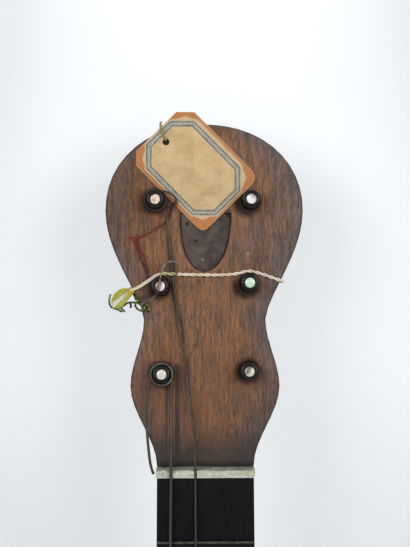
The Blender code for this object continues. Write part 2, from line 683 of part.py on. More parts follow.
def make_body(neck, woods):
    outline = full_outline()
    soundboard = plate("soundboard", outline, lambda z: NECK_TOP, front_inside)
    top = place("soundboard", soundboard, woods["spruce"])
    hole = rods("soundhole_cut", [((0, -DEPTH_AT_NECK, SOUNDHOLE_Z),
                                   (0, DEPTH_AT_NECK / 3, SOUNDHOLE_Z),
                                   SOUNDHOLE_RADIUS, SOUNDHOLE_RADIUS)], 48)
    pins = guide("pin_bores", rods("pin_bores", [
        ((x, BRIDGE_TOP - PIN_SHANK_LENGTH, z), (x, BRIDGE_TOP + PIN_SHANK_LENGTH, z),
         PIN_SHANK_RADIUS + PIN_CLEARANCE, PIN_SHANK_RADIUS + PIN_CLEARANCE)
        for x, z in pin_places()], 12))
    shape(top, "DIFFERENCE", guide("soundhole_cut", hole), pins)
    back = plate("back_plate", outline, back_inside, back_face)
    place("back_plate", back, woods["rosewood"])

    middle = (front_inside(BODY_BOTTOM) + back_inside(BODY_BOTTOM)) / 2
    end_bore = guide("end_pin_bore", rods("end_pin_bore", [
        ((0, middle, BODY_BOTTOM - END_PIN_HEAD_LENGTH),
         (0, middle, BODY_BOTTOM + 2 * END_PIN_SHANK),
         END_PIN_RADIUS + PIN_CLEARANCE, END_PIN_RADIUS + PIN_CLEARANCE)], 20))
    make_rib("rib_bass", -1, woods, [end_bore])
    make_rib("rib_treble", 1, woods, [end_bore])

    by_blocks = inner_space("space_for_blocks", RIB_THICKNESS + LINING_FADE + GAP)
    by_linings = inner_space("space_for_bars", RIB_THICKNESS + LINING_WIDTH + GAP)
    low = NECK_TOP - GAP
    high = NECK_TOP + 2 * DEPTH_AT_TAIL

    def dovetail(clearance):
        near = tenon_half_width(-TENON_GRIP) + clearance
        far = tenon_half_width(TENON_LENGTH) + clearance
        start, end = BODY_TOP + TENON_GRIP, BODY_TOP - TENON_LENGTH - clearance
        return [(-near, start), (near, start), (far, end), (-far, end)]

    def standing(outline, front, back):
        return [[(x, front, z) for x, z in outline], [(x, back, z) for x, z in outline]]

    block_mesh = box("neck_block", (-NECK_BLOCK_WIDTH / 2, low, BODY_TOP - NECK_BLOCK_LENGTH),
                     (NECK_BLOCK_WIDTH / 2, high, BODY_TOP))
    block = place("neck_block", block_mesh, woods["spruce"])
    mortise = loft("mortise", standing(dovetail(GAP), low, NECK_TOP + TENON_DEPTH + GAP))
    shape(block, "INTERSECT", by_blocks)
    shape(block, "DIFFERENCE", guide("mortise", mortise))
    tenon = loft("tenon", standing(dovetail(0.0), front_inside(0) + GAP,
                                   NECK_TOP + TENON_DEPTH))
    shape(neck, "UNION", guide("tenon", tenon))

    tail_mesh = box("tail_block", (-TAIL_BLOCK_WIDTH / 2, low, BODY_BOTTOM),
                    (TAIL_BLOCK_WIDTH / 2, high, BODY_BOTTOM + TAIL_BLOCK_LENGTH))
    tail = place("tail_block", tail_mesh, woods["spruce"])
    shape(tail, "INTERSECT", by_blocks)
    shape(tail, "DIFFERENCE", end_bore)

    off_hole = SOUNDHOLE_RADIUS + HOLE_TO_BAR
    arched_bar("upper_top_bar", SOUNDHOLE_Z + off_hole, TOP_BAR_HEIGHT, False, woods, by_linings)
    arched_bar("lower_top_bar", SOUNDHOLE_Z - off_hole, TOP_BAR_HEIGHT, False, woods, by_linings)
    for k, reach in enumerate(BACK_BAR_REACHES, 1):
        arched_bar(f"back_bar_{k}", BODY_TOP - reach, BACK_BAR_HEIGHT, True, woods, by_linings)

    head = END_PIN_HEAD_LENGTH
    profile = [(0, -head), (END_PIN_HEAD_RADIUS * 0.6, -head),
               (END_PIN_HEAD_RADIUS, -head * 0.75), (END_PIN_HEAD_RADIUS * 0.9, -head * 0.5),
               (END_PIN_RADIUS * 1.05, -head * 0.35), (END_PIN_HEAD_RADIUS * 0.85, -GAP),
               (END_PIN_RADIUS, -GAP), (END_PIN_RADIUS * 0.9, END_PIN_SHANK),
               (0, END_PIN_SHANK)]
    pin = place("end_pin", turned("end_pin", profile, 16), woods["ebony"])
    pin.location = (0, middle, BODY_BOTTOM)
    return pins


# Bridge, saddle and pins

def bridge_x(k):
    """Place across the bridge of string k, counted from the bass side."""
    return STRING_SPREAD_BRIDGE * (k / (STRING_COUNT - 1) - 0.5)


def pin_places():
    z = SADDLE_Z - PIN_LINE
    return [(bridge_x(k), z) for k in range(STRING_COUNT)]


def string_y(z):
    """Height of the strings' undersides over the fingerboard, at a place along them."""
    slope = (ACTION_BODY - ACTION_NUT) / NECK_LENGTH
    return BOARD_TOP - ACTION_NUT + slope * z


def make_bridge(pins, woods):
    seat = NECK_TOP - GAP
    middle = SADDLE_Z - SADDLE_OFFSET
    half = BRIDGE_LENGTH / 2
    end = half + WING_LENGTH
    wide = BRIDGE_WIDTH / 2
    tall = BRIDGE_HEIGHT
    # Along the bridge: place, half width, height, and how far its middle curls upwards
    stops = [(end, wide * 0.1, tall * 0.2, WING_CURL),
             (between(half, end, 0.85), wide * 0.26, tall * 0.27, WING_CURL * 0.75),
             (between(half, end, 0.6), wide * 0.3, tall * 0.3, WING_CURL * 0.25),
             (between(half, end, 0.3), wide * 0.4, tall * 0.33, 0.0),
             (between(half, end, 0.06), wide * 0.66, tall * 0.42, 0.0),
             (half, wide * 0.94, tall * 0.9, 0.0), (half * 0.95, wide, tall, 0.0)]
    rings = []
    for side in (-1, 1):
        for x, reach, height, curl in (stops if side < 0 else stops[::-1]):
            z = middle + curl
            rim = height * 0.3
            rings.append([(side * x, seat, z - reach), (side * x, seat, z + reach),
                          (side * x, seat - height + rim, z + reach),
                          (side * x, seat - height, z + reach * 0.72),
                          (side * x, seat - height, z - reach * 0.72),
                          (side * x, seat - height + rim, z - reach)])
    bridge = place("bridge", loft("bridge", rings, 30), woods["ebony"])
    slot_half = SADDLE_THICKNESS / 2 + FRET_CLEARANCE
    slot_end = SADDLE_LENGTH / 2 + FRET_CLEARANCE
    slot = box("saddle_slot", (-slot_end, BRIDGE_TOP - tall, SADDLE_Z - slot_half),
               (slot_end, BRIDGE_TOP + SADDLE_SLOT_DEPTH, SADDLE_Z + slot_half))
    shape(bridge, "DIFFERENCE", guide("saddle_slot", slot), pins)

    crest = string_y(SADDLE_Z) + LOW_STRING_CLEARANCE
    foot = BRIDGE_TOP + SADDLE_SLOT_DEPTH - GAP
    rim = SADDLE_THICKNESS / 2
    side = [(foot, -rim), (foot, rim), (crest + rim, rim), (crest + rim * 0.3, rim * 0.7),
            (crest, 0), (crest + rim * 0.3, -rim * 0.7), (crest + rim, -rim)]
    rings = [[(x, y, SADDLE_Z + z) for y, z in side]
             for x in (-SADDLE_LENGTH / 2, SADDLE_LENGTH / 2)]
    place("saddle", loft("saddle", rings, 30), woods["bone"])

    radius, length = PIN_HEAD_RADIUS, PIN_HEAD_LENGTH
    profile = [(0, length), (radius * 0.55, length * 0.93), (radius * 0.92, length * 0.62),
               (radius, length * 0.3), (radius * 0.85, GAP), (PIN_SHANK_RADIUS, GAP),
               (PIN_SHANK_RADIUS - PIN_SHANK_TAPER, -PIN_SHANK_LENGTH), (0, -PIN_SHANK_LENGTH)]
    mesh = turned("bridge_pin", profile, 12)
    for k, (x, z) in enumerate(pin_places(), 1):
        pin = place(f"bridge_pin_{k}", mesh, woods["ebony"])
        pin.location = (x, BRIDGE_TOP, z)
        pin.rotation_euler = (math.radians(90), 0, 0)


# Strings, twine and label

def smooth_route(stops, step):
    """Points a step apart on a smooth curve through the stops."""
    stops = [Vector(p) for p in stops]
    ends = [2 * stops[0] - stops[1]] + stops + [2 * stops[-1] - stops[-2]]
    route = [stops[0]]
    for a, b, c, d in zip(ends, ends[1:], ends[2:], ends[3:]):
        count = max(1, round((c - b).length / step))
        for i in range(1, count + 1):
            t = i / count
            route.append(0.5 * (2 * b + (c - a) * t + (2 * a - 5 * b + 4 * c - d) * t * t
                                + (3 * b - a - 3 * c + d) * t ** 3))
    return route


def cord_data(name, route, radius):
    curve = bpy.data.curves.new(name, "CURVE")
    curve.dimensions = "3D"
    curve.bevel_depth = radius
    curve.bevel_resolution = STRING_SIDES
    curve.use_fill_caps = True
    line = curve.splines.new("POLY")
    line.points.add(len(route) - 1)
    for point, place_at in zip(line.points, route):
        point.co = (*place_at, 1.0)
    return curve


def winding(peg, radius, height, side, bend=0.0):
    """Turns round a peg that end on its bass (-1) or treble (+1) side, running down."""
    x, v = PEG_PLACES[peg]
    count = round(WINDING_TURNS * WINDING_POINTS)
    points = []
    for i in range(count + 1):
        turns = (i - count) / WINDING_POINTS
        a = (0 if side > 0 else math.pi) - side * (turns * math.tau + bend)
        w = height - turns * 2 * radius * WINDING_SPREAD
        r = shaft_radius(w) + radius + LOW_STRING_CLEARANCE
        points.append(head_point(x + r * math.cos(a), v + r * math.sin(a), w))
    return points


def to_bridge(route, k, radius):
    """Carries a string from the nut over the saddle to its pin."""
    x = bridge_x(k)
    pin_z = SADDLE_Z - PIN_LINE + PIN_HEAD_RADIUS + radius + LOW_STRING_CLEARANCE
    low = BRIDGE_TOP - LOW_STRING_CLEARANCE - radius
    return route + [Vector((x, string_y(SADDLE_Z) - radius, SADDLE_Z + SADDLE_THICKNESS)),
                    Vector((x, string_y(SADDLE_Z) - radius, SADDLE_Z)),
                    Vector((x, low, pin_z))]


def make_strings(woods):
    over_nut = BOARD_TOP - NUT_ABOVE_BOARD
    x_fourth = NUT_GROOVES[2]
    rest = FACE + LOW_STRING_CLEARANCE
    fourth = winding("bass_upper", FOURTH_RADIUS, FACE + 0.0042, 1)
    start = fourth[-1]
    at_nut = Vector((x_fourth, string_y(0) - FOURTH_RADIUS, 0.0))
    behind_nut = Vector((x_fourth, string_y(0) - FOURTH_RADIUS, NUT_THICKNESS))
    fourth += smooth_route([start, head_point(-0.0178, 0.1160, FACE + 0.0022),
                            head_point(-0.0167, 0.0950, rest + FOURTH_RADIUS),
                            head_point(-0.0118, 0.0600, FACE + 0.0020),
                            head_point(-0.0080, 0.0300, FACE + 0.0036),
                            head_point(-0.0060, 0.0090, FACE + 0.0050), behind_nut],
                           0.006)[1:]
    fourth = to_bridge(fourth + [at_nut], 2, FOURTH_RADIUS)
    place("string_fourth", cord_data("string_fourth", fourth, FOURTH_RADIUS), woods["silver_wound"])

    sixth = winding("bass_lower", SIXTH_RADIUS, FACE + 0.0032, 1, SIXTH_BEND)
    x_sixth = -0.0176
    on_nut = over_nut - LOW_STRING_CLEARANCE - SIXTH_RADIUS
    sixth += smooth_route([sixth[-1], head_point(-0.0175, 0.0330, FACE + 0.0042),
                           head_point(-0.0175, 0.0100, FACE + 0.0062),
                           Vector((x_sixth, on_nut, NUT_THICKNESS))], 0.006)[1:]
    sixth = to_bridge(sixth + [Vector((x_sixth, on_nut, 0.0))], 0, SIXTH_RADIUS)
    place("string_sixth", cord_data("string_sixth", sixth, SIXTH_RADIUS), woods["silver_wound"])

    loose = winding("bass_lower", LOOSE_RADIUS, FACE + 0.0086, -1)
    loose += smooth_route([loose[-1], head_point(-0.0291, 0.0362, FACE + 0.0072),
                           head_point(-0.0299, 0.0230, FACE + 0.0050),
                           head_point(-0.0292, 0.0100, FACE + 0.0020),
                           head_point(-0.0282, 0.0005, FACE - 0.0018),
                           head_point(-0.0268, -0.0045, FACE - 0.0040)], 0.0025)[1:]
    place("string_loose_end", cord_data("string_loose_end", loose, LOOSE_RADIUS),
          woods["silver_wound"])


def make_twine(frame, woods):
    """Twine tied round the head's waist, its knot and tassel on the bass edge."""
    off = GAP + TWINE_RADIUS
    front, back = FACE + off, -HEAD_THICKNESS - off
    over_string = FACE + LOW_STRING_CLEARANCE + 2 * FOURTH_RADIUS + off

    def round_edge(side, v, angles):
        """Places of the twine round the head's edge, by angle from the face."""
        slope = (head_half_width(v + 0.001) - head_half_width(v - 0.001)) / 0.002
        places = []
        for degrees in angles:
            out = math.sin(math.radians(degrees)) * off * math.hypot(1, slope)
            up = math.cos(math.radians(degrees)) * off
            level = FACE + up if degrees < 90 else up - HEAD_THICKNESS
            if degrees == 90:
                level = -HEAD_THICKNESS / 2
            places.append((side * (head_half_width(v) + out), v, level))
        return places

    stops = [*round_edge(-1, 0.0909, (90, 60, 25)),
             (-0.0296, 0.0957, front + 0.0006), (-0.0240, 0.0990, over_string - 0.0003),
             (-0.0167, 0.0989, over_string), (-0.0080, 0.0982, front + 0.0008),
             (0.0080, 0.0980, front), (0.0160, 0.0988, front), (0.0230, 0.0998, front),
             (0.0300, 0.0985, front), *round_edge(1, 0.0948, (25, 60, 90, 120, 155)),
             (0.0300, 0.0985, back), (0.0235, 0.1005, back), (0.0000, 0.1006, back),
             (-0.0235, 0.1004, back), (-0.0300, 0.0960, back),
             *round_edge(-1, KNOT_HEIGHT, (155, 120))]
    route = smooth_route(stops, TWINE_STEP)
    rope = place("twine_curve", cord_data("twine", route, TWINE_RADIUS), woods["twine"])
    twine = place("twine", settled(rope), parent=frame)
    bm = bmesh.new()
    bmesh.ops.create_icosphere(bm, subdivisions=2, radius=KNOT_RADIUS)
    knot = guide("twine_knot", to_mesh("twine_knot", bm, 40), frame)
    knot.location = (-head_half_width(KNOT_HEIGHT) - KNOT_STANDOFF, KNOT_HEIGHT,
                     -HEAD_THICKNESS / 2)
    bm = bmesh.new()
    bmesh.ops.create_uvsphere(bm, u_segments=12, v_segments=8, radius=1.0)
    bmesh.ops.scale(bm, verts=bm.verts, vec=(TASSEL_LENGTH / 2, TASSEL_RADIUS, TASSEL_RADIUS))
    tassel = guide("tassel", to_mesh("tassel", bm, 40), frame)
    way = Vector((math.cos(TASSEL_SLOPE), math.sin(TASSEL_SLOPE), 0))
    tassel.location = knot.location - way * TASSEL_LENGTH / 2
    tassel.rotation_euler = (0, 0, TASSEL_SLOPE)
    shape(twine, "UNION", knot, tassel)


def make_label(frame, woods):
    """Card label lying on the head between the upper pegs.

    Two corners are cut straight, and the other two are worn round."""
    outline = []
    for quarter, (radius, steps) in enumerate(LABEL_CORNERS):
        x = (LABEL_LENGTH / 2 - radius) * (1 if quarter in (0, 1) else -1)
        y = (LABEL_WIDTH / 2 - radius) * (1 if quarter in (1, 2) else -1)
        for i in range(steps + 1):
            a = math.pi / 2 * (quarter - 1 + i / steps)
            outline.append((x + radius * math.cos(a), y + radius * math.sin(a)))
    card = prism("label_tag", outline, FACE + GAP, FACE + GAP + LABEL_THICKNESS)
    label = place("label_tag", card, woods["card"], frame)
    punch = rods("label_hole", [((*LABEL_HOLE, 0), (*LABEL_HOLE, 2 * FACE),
                                 LABEL_HOLE_RADIUS, LABEL_HOLE_RADIUS)], 16)
    hole = guide("label_hole", punch, frame)
    for item in (label, hole):
        item.location = (*LABEL_CENTRE, 0)
        item.rotation_euler = (0, 0, LABEL_TURN)
    shape(label, "DIFFERENCE", hole)


clear_scene()
woods = {
    "neck": finish("stained_neck_wood", (0.055, 0.028, 0.018), 0.45),
    "head_core": finish("stained_head_core", (0.035, 0.020, 0.014), 0.45),
    "veneer": finish("rosewood_veneer", (0.170, 0.065, 0.032), 0.42),
    "shield": finish("shield_wood", (0.060, 0.043, 0.038), 0.60),
    "rosewood": finish("rosewood", (0.130, 0.050, 0.028), 0.38),
    "spruce": finish("aged_spruce", (0.500, 0.300, 0.130), 0.50),
    "ebony": finish("ebony", (0.012, 0.011, 0.012), 0.35),
    "bone": finish("aged_bone", (0.480, 0.460, 0.380), 0.45),
    "pearl": finish("pearl", (0.720, 0.690, 0.650), 0.20),
    "fret": finish("brass_fret", (0.380, 0.330, 0.220), 0.40, 1.0),
    "silver_wound": finish("tarnished_string", (0.075, 0.070, 0.065), 0.50, 0.6),
    "twine": finish("cotton_twine", (0.750, 0.640, 0.450), 0.85),
    "card": finish("old_card", (0.620, 0.410, 0.190), 0.80),
}
head_frame = place("head_frame", None)
head_frame.location = (0, NECK_TOP, HEAD_START)
head_frame.rotation_euler = (math.pi / 2 - HEAD_TILT, 0, 0)
neck = make_neck_and_head(head_frame, woods)
make_pegs(head_frame, woods)
make_board(woods)
make_nut(woods)
pin_bores = make_body(neck, woods)
make_bridge(pin_bores, woods)
make_strings(woods)
make_twine(head_frame, woods)
make_label(head_frame, woods)
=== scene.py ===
import math

import bmesh
import bpy
from mathutils import Matrix, Vector, kdtree


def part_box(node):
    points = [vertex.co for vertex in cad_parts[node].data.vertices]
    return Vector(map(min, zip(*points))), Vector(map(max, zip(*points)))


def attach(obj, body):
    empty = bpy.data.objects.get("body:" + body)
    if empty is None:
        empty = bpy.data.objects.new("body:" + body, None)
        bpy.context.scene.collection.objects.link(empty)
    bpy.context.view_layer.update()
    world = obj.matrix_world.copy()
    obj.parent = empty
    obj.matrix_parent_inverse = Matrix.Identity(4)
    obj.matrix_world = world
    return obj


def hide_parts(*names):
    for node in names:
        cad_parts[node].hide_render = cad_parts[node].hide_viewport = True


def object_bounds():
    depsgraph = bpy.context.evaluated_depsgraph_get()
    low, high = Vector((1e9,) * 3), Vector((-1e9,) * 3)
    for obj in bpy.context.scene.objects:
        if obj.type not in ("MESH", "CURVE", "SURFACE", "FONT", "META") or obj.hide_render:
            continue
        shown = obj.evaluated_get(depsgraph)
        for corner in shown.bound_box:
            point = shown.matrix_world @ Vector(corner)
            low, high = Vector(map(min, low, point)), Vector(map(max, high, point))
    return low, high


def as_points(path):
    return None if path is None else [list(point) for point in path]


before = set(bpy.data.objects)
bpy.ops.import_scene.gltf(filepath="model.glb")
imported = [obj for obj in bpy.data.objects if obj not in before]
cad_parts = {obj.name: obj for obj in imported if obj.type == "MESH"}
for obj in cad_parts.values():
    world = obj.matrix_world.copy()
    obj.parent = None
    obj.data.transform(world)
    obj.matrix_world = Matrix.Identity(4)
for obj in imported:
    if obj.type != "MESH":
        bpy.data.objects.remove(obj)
cad_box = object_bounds()
scene = bpy.context.scene

# The guitar is seen from straight above the face of its head, as it lies on its back.
# Lengths are in millimetres. Places on the head are given across it, along it from the nut,
# and out of its core's front.
MM = 0.001
HEAD_TILT = math.radians(15)
HEAD_FOOT = Vector((0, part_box("neck")[0][1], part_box("nut")[1][2] + 0.3 * MM))
HEAD = Matrix.Translation(HEAD_FOOT) @ Matrix.Rotation(math.pi / 2 - HEAD_TILT, 4, "X")
OUTWARD = HEAD.to_3x3() @ Vector((0, 0, 1))
FACE = 1.8                    # the veneer's face, out of the core's front
CAMERA_HEIGHT = 800
CAMERA_ROLL = math.radians(0.266)


def on_head(x, v, w=0):
    return HEAD @ Vector((x * MM, v * MM, w * MM))


def added(name, data):
    """A new object in the scene."""
    thing = bpy.data.objects.new(name, data)
    scene.collection.objects.link(thing)
    return thing


eye = on_head(-6.59, 83.31, CAMERA_HEIGHT)
ahead = (on_head(0.29, 98.62) - eye).normalized()
upward = HEAD.to_3x3() @ Vector((math.sin(CAMERA_ROLL), math.cos(CAMERA_ROLL), 0))
right = ahead.cross(upward).normalized()
turn = Matrix((right, right.cross(ahead), -ahead)).transposed().to_4x4()
camera = added("camera", bpy.data.cameras.new("camera"))
camera.matrix_world = Matrix.Translation(eye) @ turn
camera.data.lens = 102.14
scene.camera = camera

# Three overspun strings are left: a silk core wound with fine silver-plated copper wire, now
# dull and dark. The sixth and fourth run from their pegs over the nut to the bridge, and a
# broken one is wound on the lower bass peg, its end hanging beside the nut.
PEG_PLACES = {"bass_lower": (-22.1, 47.3), "treble_lower": (22.5, 48.6),
              "bass_middle": (-22.7, 92.1), "treble_middle": (23, 93.6),
              "bass_upper": (-25, 136.2), "treble_upper": (24, 136.2)}
PEG_TIP = FACE + 13
PEG_TIP_RADIUS, PEG_TAPER = 4.5, 1 / 60
TURN_STEPS, TURN_RISE = 20, 1.25        # points in a turn, and string widths between turns
STRING_CLEARANCE = 0.35
SIXTH_RADIUS, FOURTH_RADIUS, LOOSE_RADIUS = 0.8, 0.55, 0.7
NUT_THICKNESS = 4.4
SADDLE_Z = -640
WIRE_PITCH = 0.34             # one turn of the wire along the string


def arithmetic(operation, reflected=False):
    """A method that makes a Math node of a shade and perhaps another value."""
    def method(self, other=0):
        first, second = (other, self) if reflected else (self, other)
        return self.finish.node("Math", {"operation": operation}, {0: first, 1: second})
    return method


class Shade:
    """A socket of a finish. Sums and products written with it become Math nodes."""

    __add__ = __radd__ = arithmetic("ADD")
    __sub__, __rsub__ = arithmetic("SUBTRACT"), arithmetic("SUBTRACT", reflected=True)
    __mul__ = __rmul__ = arithmetic("MULTIPLY")
    __truediv__, __pow__ = arithmetic("DIVIDE"), arithmetic("POWER")
    __abs__, root = arithmetic("ABSOLUTE"), arithmetic("SQRT")
    sine, fraction = arithmetic("SINE"), arithmetic("FRACT")
    below, above = arithmetic("MINIMUM"), arithmetic("MAXIMUM")

    def __init__(self, finish, socket):
        self.finish = finish
        self.socket = socket

    def rise(self, low, high):
        """0 up to one end and 1 from the other, with a soft step between."""
        return self.finish.node("MapRange", {"interpolation_type": "SMOOTHSTEP"},
                                {0: self, 1: low, 2: high})

    def mix(self, other, share):
        return self.finish.mix(self, other, share)

    def times(self, level):
        return self.finish.times(self, level)

    def parts(self):
        return [self.finish.node("SeparateXYZ", sockets={0: self}, output=i) for i in range(3)]

    def far(self, point):
        return self.finish.node("VectorMath", {"operation": "DISTANCE"}, {0: self, 1: point}, 1)

    def noise(self, size, detail=2, rough=0.5, warp=0):
        """Cloudy noise round one half, with features of this size, or of these three."""
        sizes = size if isinstance(size, tuple) else (size, size, size)
        at = self.finish.node("Mapping", sockets={0: self, 3: [1 / s for s in sizes]})
        return self.finish.node("TexNoise", sockets={
            "Vector": at, "Scale": 1, "Detail": detail, "Roughness": rough, "Distortion": warp})


class Finish:
    """What a piece's surface is: a shader, and the nodes that vary it from place to place."""

    def __init__(self, name, **plain):
        self.material = bpy.data.materials.new(name)
        self.material.use_nodes = True
        self.tree = self.material.node_tree
        self.shader = self.tree.nodes["Principled BSDF"]
        self.set(**plain)

    def set(self, **values):
        for name, value in values.items():
            socket = name.replace("_", " ").title().replace("Ior", "IOR")
            self.feed(self.shader.inputs[socket], value)

    def paint(self, colour, roughness=None, relief=None, depth=0):
        """Colour, roughness, and relief raised by this depth, all as they vary."""
        self.set(base_color=colour)
        if roughness:
            self.set(roughness=roughness)
        if relief:
            self.set(normal=self.node("Bump", sockets={"Height": relief, "Distance": depth * MM}))

    def feed(self, socket, value):
        if isinstance(value, Shade):
            self.tree.links.new(value.socket, socket)
        elif socket.type == "RGBA":
            socket.default_value = (*value, 1)
        else:
            socket.default_value = value

    def node(self, kind, settings=None, sockets=None, output=0):
        made = self.tree.nodes.new("ShaderNode" + kind)
        for name, value in (settings or {}).items():
            setattr(made, name, value)
        for name, value in (sockets or {}).items():
            self.feed(made.inputs[name], value)
        return Shade(self, made.outputs[output])

    def curve(self, share, levels):
        """A ramp through evenly spaced levels, from 0 to 1."""
        ramp = self.tree.nodes.new("ShaderNodeValToRGB")
        stops = ramp.color_ramp.elements
        last = len(levels) - 1
        for i in range(1, last):
            stops.new(i / last)
        for i, (stop, level) in enumerate(zip(stops, levels)):
            stop.position = i / last
            stop.color = (level, level, level, 1)
        self.feed(ramp.inputs[0], share)
        return Shade(self, ramp.outputs[0])

    def place(self, turn=0, centre=(0, 0, 0)):
        """Object coordinates in millimetres from a centre, turned round X."""
        move = Matrix.Rotation(turn, 3, "X") @ Vector(centre) / -MM
        at = self.node("TexCoord", output=3)
        return self.node("Mapping", sockets={0: at, 1: move, 2: (turn, 0, 0),
                                             3: (1 / MM, 1 / MM, 1 / MM)})

    def head_place(self, centre=HEAD_FOOT):
        """Places on the head: across it, into its wood, and along it."""
        return self.place(HEAD_TILT, centre)

    def combined(self, x, y, z):
        return self.node("CombineXYZ", sockets={0: x, 1: y, 2: z})

    def attribute(self, name):
        return self.node("Attribute", {"attribute_name": name}, output=2)

    def facing(self, way):
        """1 where the surface faces this way, and 0 where it is side on to it."""
        normal = self.node("NewGeometry", output=1)
        return self.node("VectorMath", {"operation": "DOT_PRODUCT"}, {0: normal, 1: way}, 1)

    def mix(self, first, second, share):
        return self.node("Mix", {"data_type": "RGBA"}, {0: share, 6: first, 7: second}, 2)

    def times(self, colour, level):
        return self.node("VectorMath", {"operation": "SCALE"}, {0: colour, 3: level})


def smooth_route(stops, step):
    """Points about a step apart on a smooth curve through the stops."""
    stops = [Vector(p) for p in stops]
    ends = [2 * stops[0] - stops[1]] + stops + [2 * stops[-1] - stops[-2]]
    route = [stops[0]]
    for a, b, c, d in zip(ends, ends[1:], ends[2:], ends[3:]):
        count = max(1, round((c - b).length / (step * MM)))
        for i in range(1, count + 1):
            t = i / count
            route.append(0.5 * (2 * b + (c - a) * t + (2 * a - 5 * b + 4 * c - d) * t * t
                                + (3 * b - a - 3 * c + d) * t ** 3))
    return route


def over_face(*places):
    return [on_head(x, v, FACE + w) for x, v, w in places]


def head_route(places, step):
    return smooth_route([on_head(*place) for place in places], step)


def shaft_radius(w):
    """A peg's radius where it passes this height over the core, on its taper."""
    return PEG_TIP_RADIUS + (PEG_TIP - w) * PEG_TAPER


def winding(peg, radius, height, side, bend=0, turns_made=1.8):
    """Turns round a peg that end on its bass (-1) or treble (+1) side, running down."""
    x, v = PEG_PLACES[peg]
    count = round(turns_made * TURN_STEPS)
    points = []
    for i in range(count + 1):
        turns = (i - count) / TURN_STEPS
        a = (0 if side > 0 else math.pi) - side * (turns * math.tau + bend)
        w = FACE + height - turns * 2 * radius * TURN_RISE
        r = shaft_radius(w) + radius + STRING_CLEARANCE
        points.append(on_head(x + r * math.cos(a), v + r * math.sin(a), w))
    return points


def cord_mesh(routes, radius, sides=10, taper=None):
    """Round cords swept along their routes. Each point knows how far along it lies."""
    bm = bmesh.new()
    far_layer = bm.verts.layers.float.new("along")
    for route in routes:
        ways = [(b - a).normalized() for a, b in zip(route, route[1:])]
        ways = ways[:1] + [(a + b).normalized() for a, b in zip(ways, ways[1:])] + ways[-1:]
        turn = Vector((0, 0, 1)).rotation_difference(ways[0])
        last, far = None, 0
        for i, (point, way) in enumerate(zip(route, ways)):
            if i:
                turn = ways[i - 1].rotation_difference(way) @ turn
                far += (point - route[i - 1]).length
            thick = radius * MM * (taper(i / (len(route) - 1)) if taper else 1)
            stand = Matrix.LocRotScale(point, turn, (thick, thick, thick))
            if last is None:
                verts = bmesh.ops.create_circle(bm, cap_ends=True, segments=sides, radius=1,
                                                matrix=stand)["verts"]
                ring = list({e for v in verts for e in v.link_edges})
            else:
                made = bmesh.ops.extrude_edge_only(bm, edges=ring)["geom"]
                verts = [g for g in made if isinstance(g, bmesh.types.BMVert)]
                ring = [g for g in made if isinstance(g, bmesh.types.BMEdge)]
                bmesh.ops.transform(bm, matrix=stand @ last.inverted(), verts=verts)
            for vert in verts:
                vert[far_layer] = far / MM
            last = stand
        bmesh.ops.edgeloop_fill(bm, edges=ring)
    return bm


def as_mesh(bm, name):
    """Moves a shape into a mesh of its own."""
    mesh = bpy.data.meshes.new(name)
    bm.to_mesh(mesh)
    bm.free()
    return mesh


def make_piece(bm, name, finish, stands_for=(), body="guitar", sharp=40):
    """A finished piece from its mesh, riding on a body and replacing the nodes named."""
    bmesh.ops.recalc_face_normals(bm, faces=bm.faces)
    mesh = as_mesh(bm, name)
    mesh.shade_smooth()
    mesh.set_sharp_from_angle(angle=math.radians(sharp))
    mesh.materials.append(finish.material)
    piece = added(name, mesh)
    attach(piece, body)
    if stands_for:
        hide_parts(*stands_for)
    return piece


overspun = Finish("overspun_string", metallic=0.1, specular_ior_level=0.3)
at = overspun.place()
wire = (overspun.attribute("along") * (math.tau / WIRE_PITCH)).sine()
worn = at.noise((4, 4, 9), 3).rise(0.42, 0.66)
dull = overspun.mix((0.124, 0.107, 0.087), (0.204, 0.181, 0.148), worn)
dull = overspun.mix((0.088, 0.087, 0.08), dull, at.parts()[2].rise(-2, 46))
# painted shade: the strings are painted nearly black where they turn away from the head's face
dull = overspun.mix((0.016, 0.014, 0.012), dull, overspun.facing(OUTWARD).rise(0.45, 0.95))
on_upper = overspun.head_place().far((-25, -FACE - 5, 136.2)).rise(9.2, 7.4)
dull = dull.times(1 - on_upper * 0.45)
overspun.paint(dull.times(0.85 + wire * 0.2), 0.62 - worn * 0.15, wire, 0.06)

loose = winding("bass_lower", LOOSE_RADIUS, 8.6, -1)
loose += smooth_route([loose[-1], *over_face(
    (-29.1, 36.2, 7.2), (-29.9, 23, 5), (-29.2, 10, 2), (-28.2, 0.5, -1.8),
    (-26.8, -4.5, -4))], 2.5)[1:]
loose_length = sum((b - a).length for a, b in zip(loose, loose[1:]))
piece = make_piece(cord_mesh([loose], LOOSE_RADIUS), "loose_string_end", overspun,
                   ["string_loose_end"])
tuple(loose[0])
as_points(loose)

board_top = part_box("fingerboard")[0][1] / MM
bridge_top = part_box("nut")[1][1] / MM - 8
STRING_HEIGHT, STRING_SLOPE = 1.65, 0.00797     # over the fingerboard at the nut, and its gain


def under_string(z):
    """The height at which a string's underside passes over the fingerboard or the saddle."""
    return board_top - STRING_HEIGHT + STRING_SLOPE * z


def to_bridge(route, over_nut, nut_x, saddle_x, radius):
    """Carries a string over the nut and the saddle, and down in front of its pin."""
    over_saddle = under_string(SADDLE_Z) - radius
    low = bridge_top - STRING_CLEARANCE - radius
    pin_z = SADDLE_Z - 8.4 + radius + STRING_CLEARANCE
    return route + [Vector((x * MM, y * MM, z * MM)) for x, y, z in (
        (nut_x, over_nut, 0), (saddle_x, over_saddle, SADDLE_Z + 2.6),
        (saddle_x, over_saddle, SADDLE_Z), (saddle_x, low, pin_z))]


def nut_point(x, y):
    return Vector((x * MM, y * MM, NUT_THICKNESS * MM))


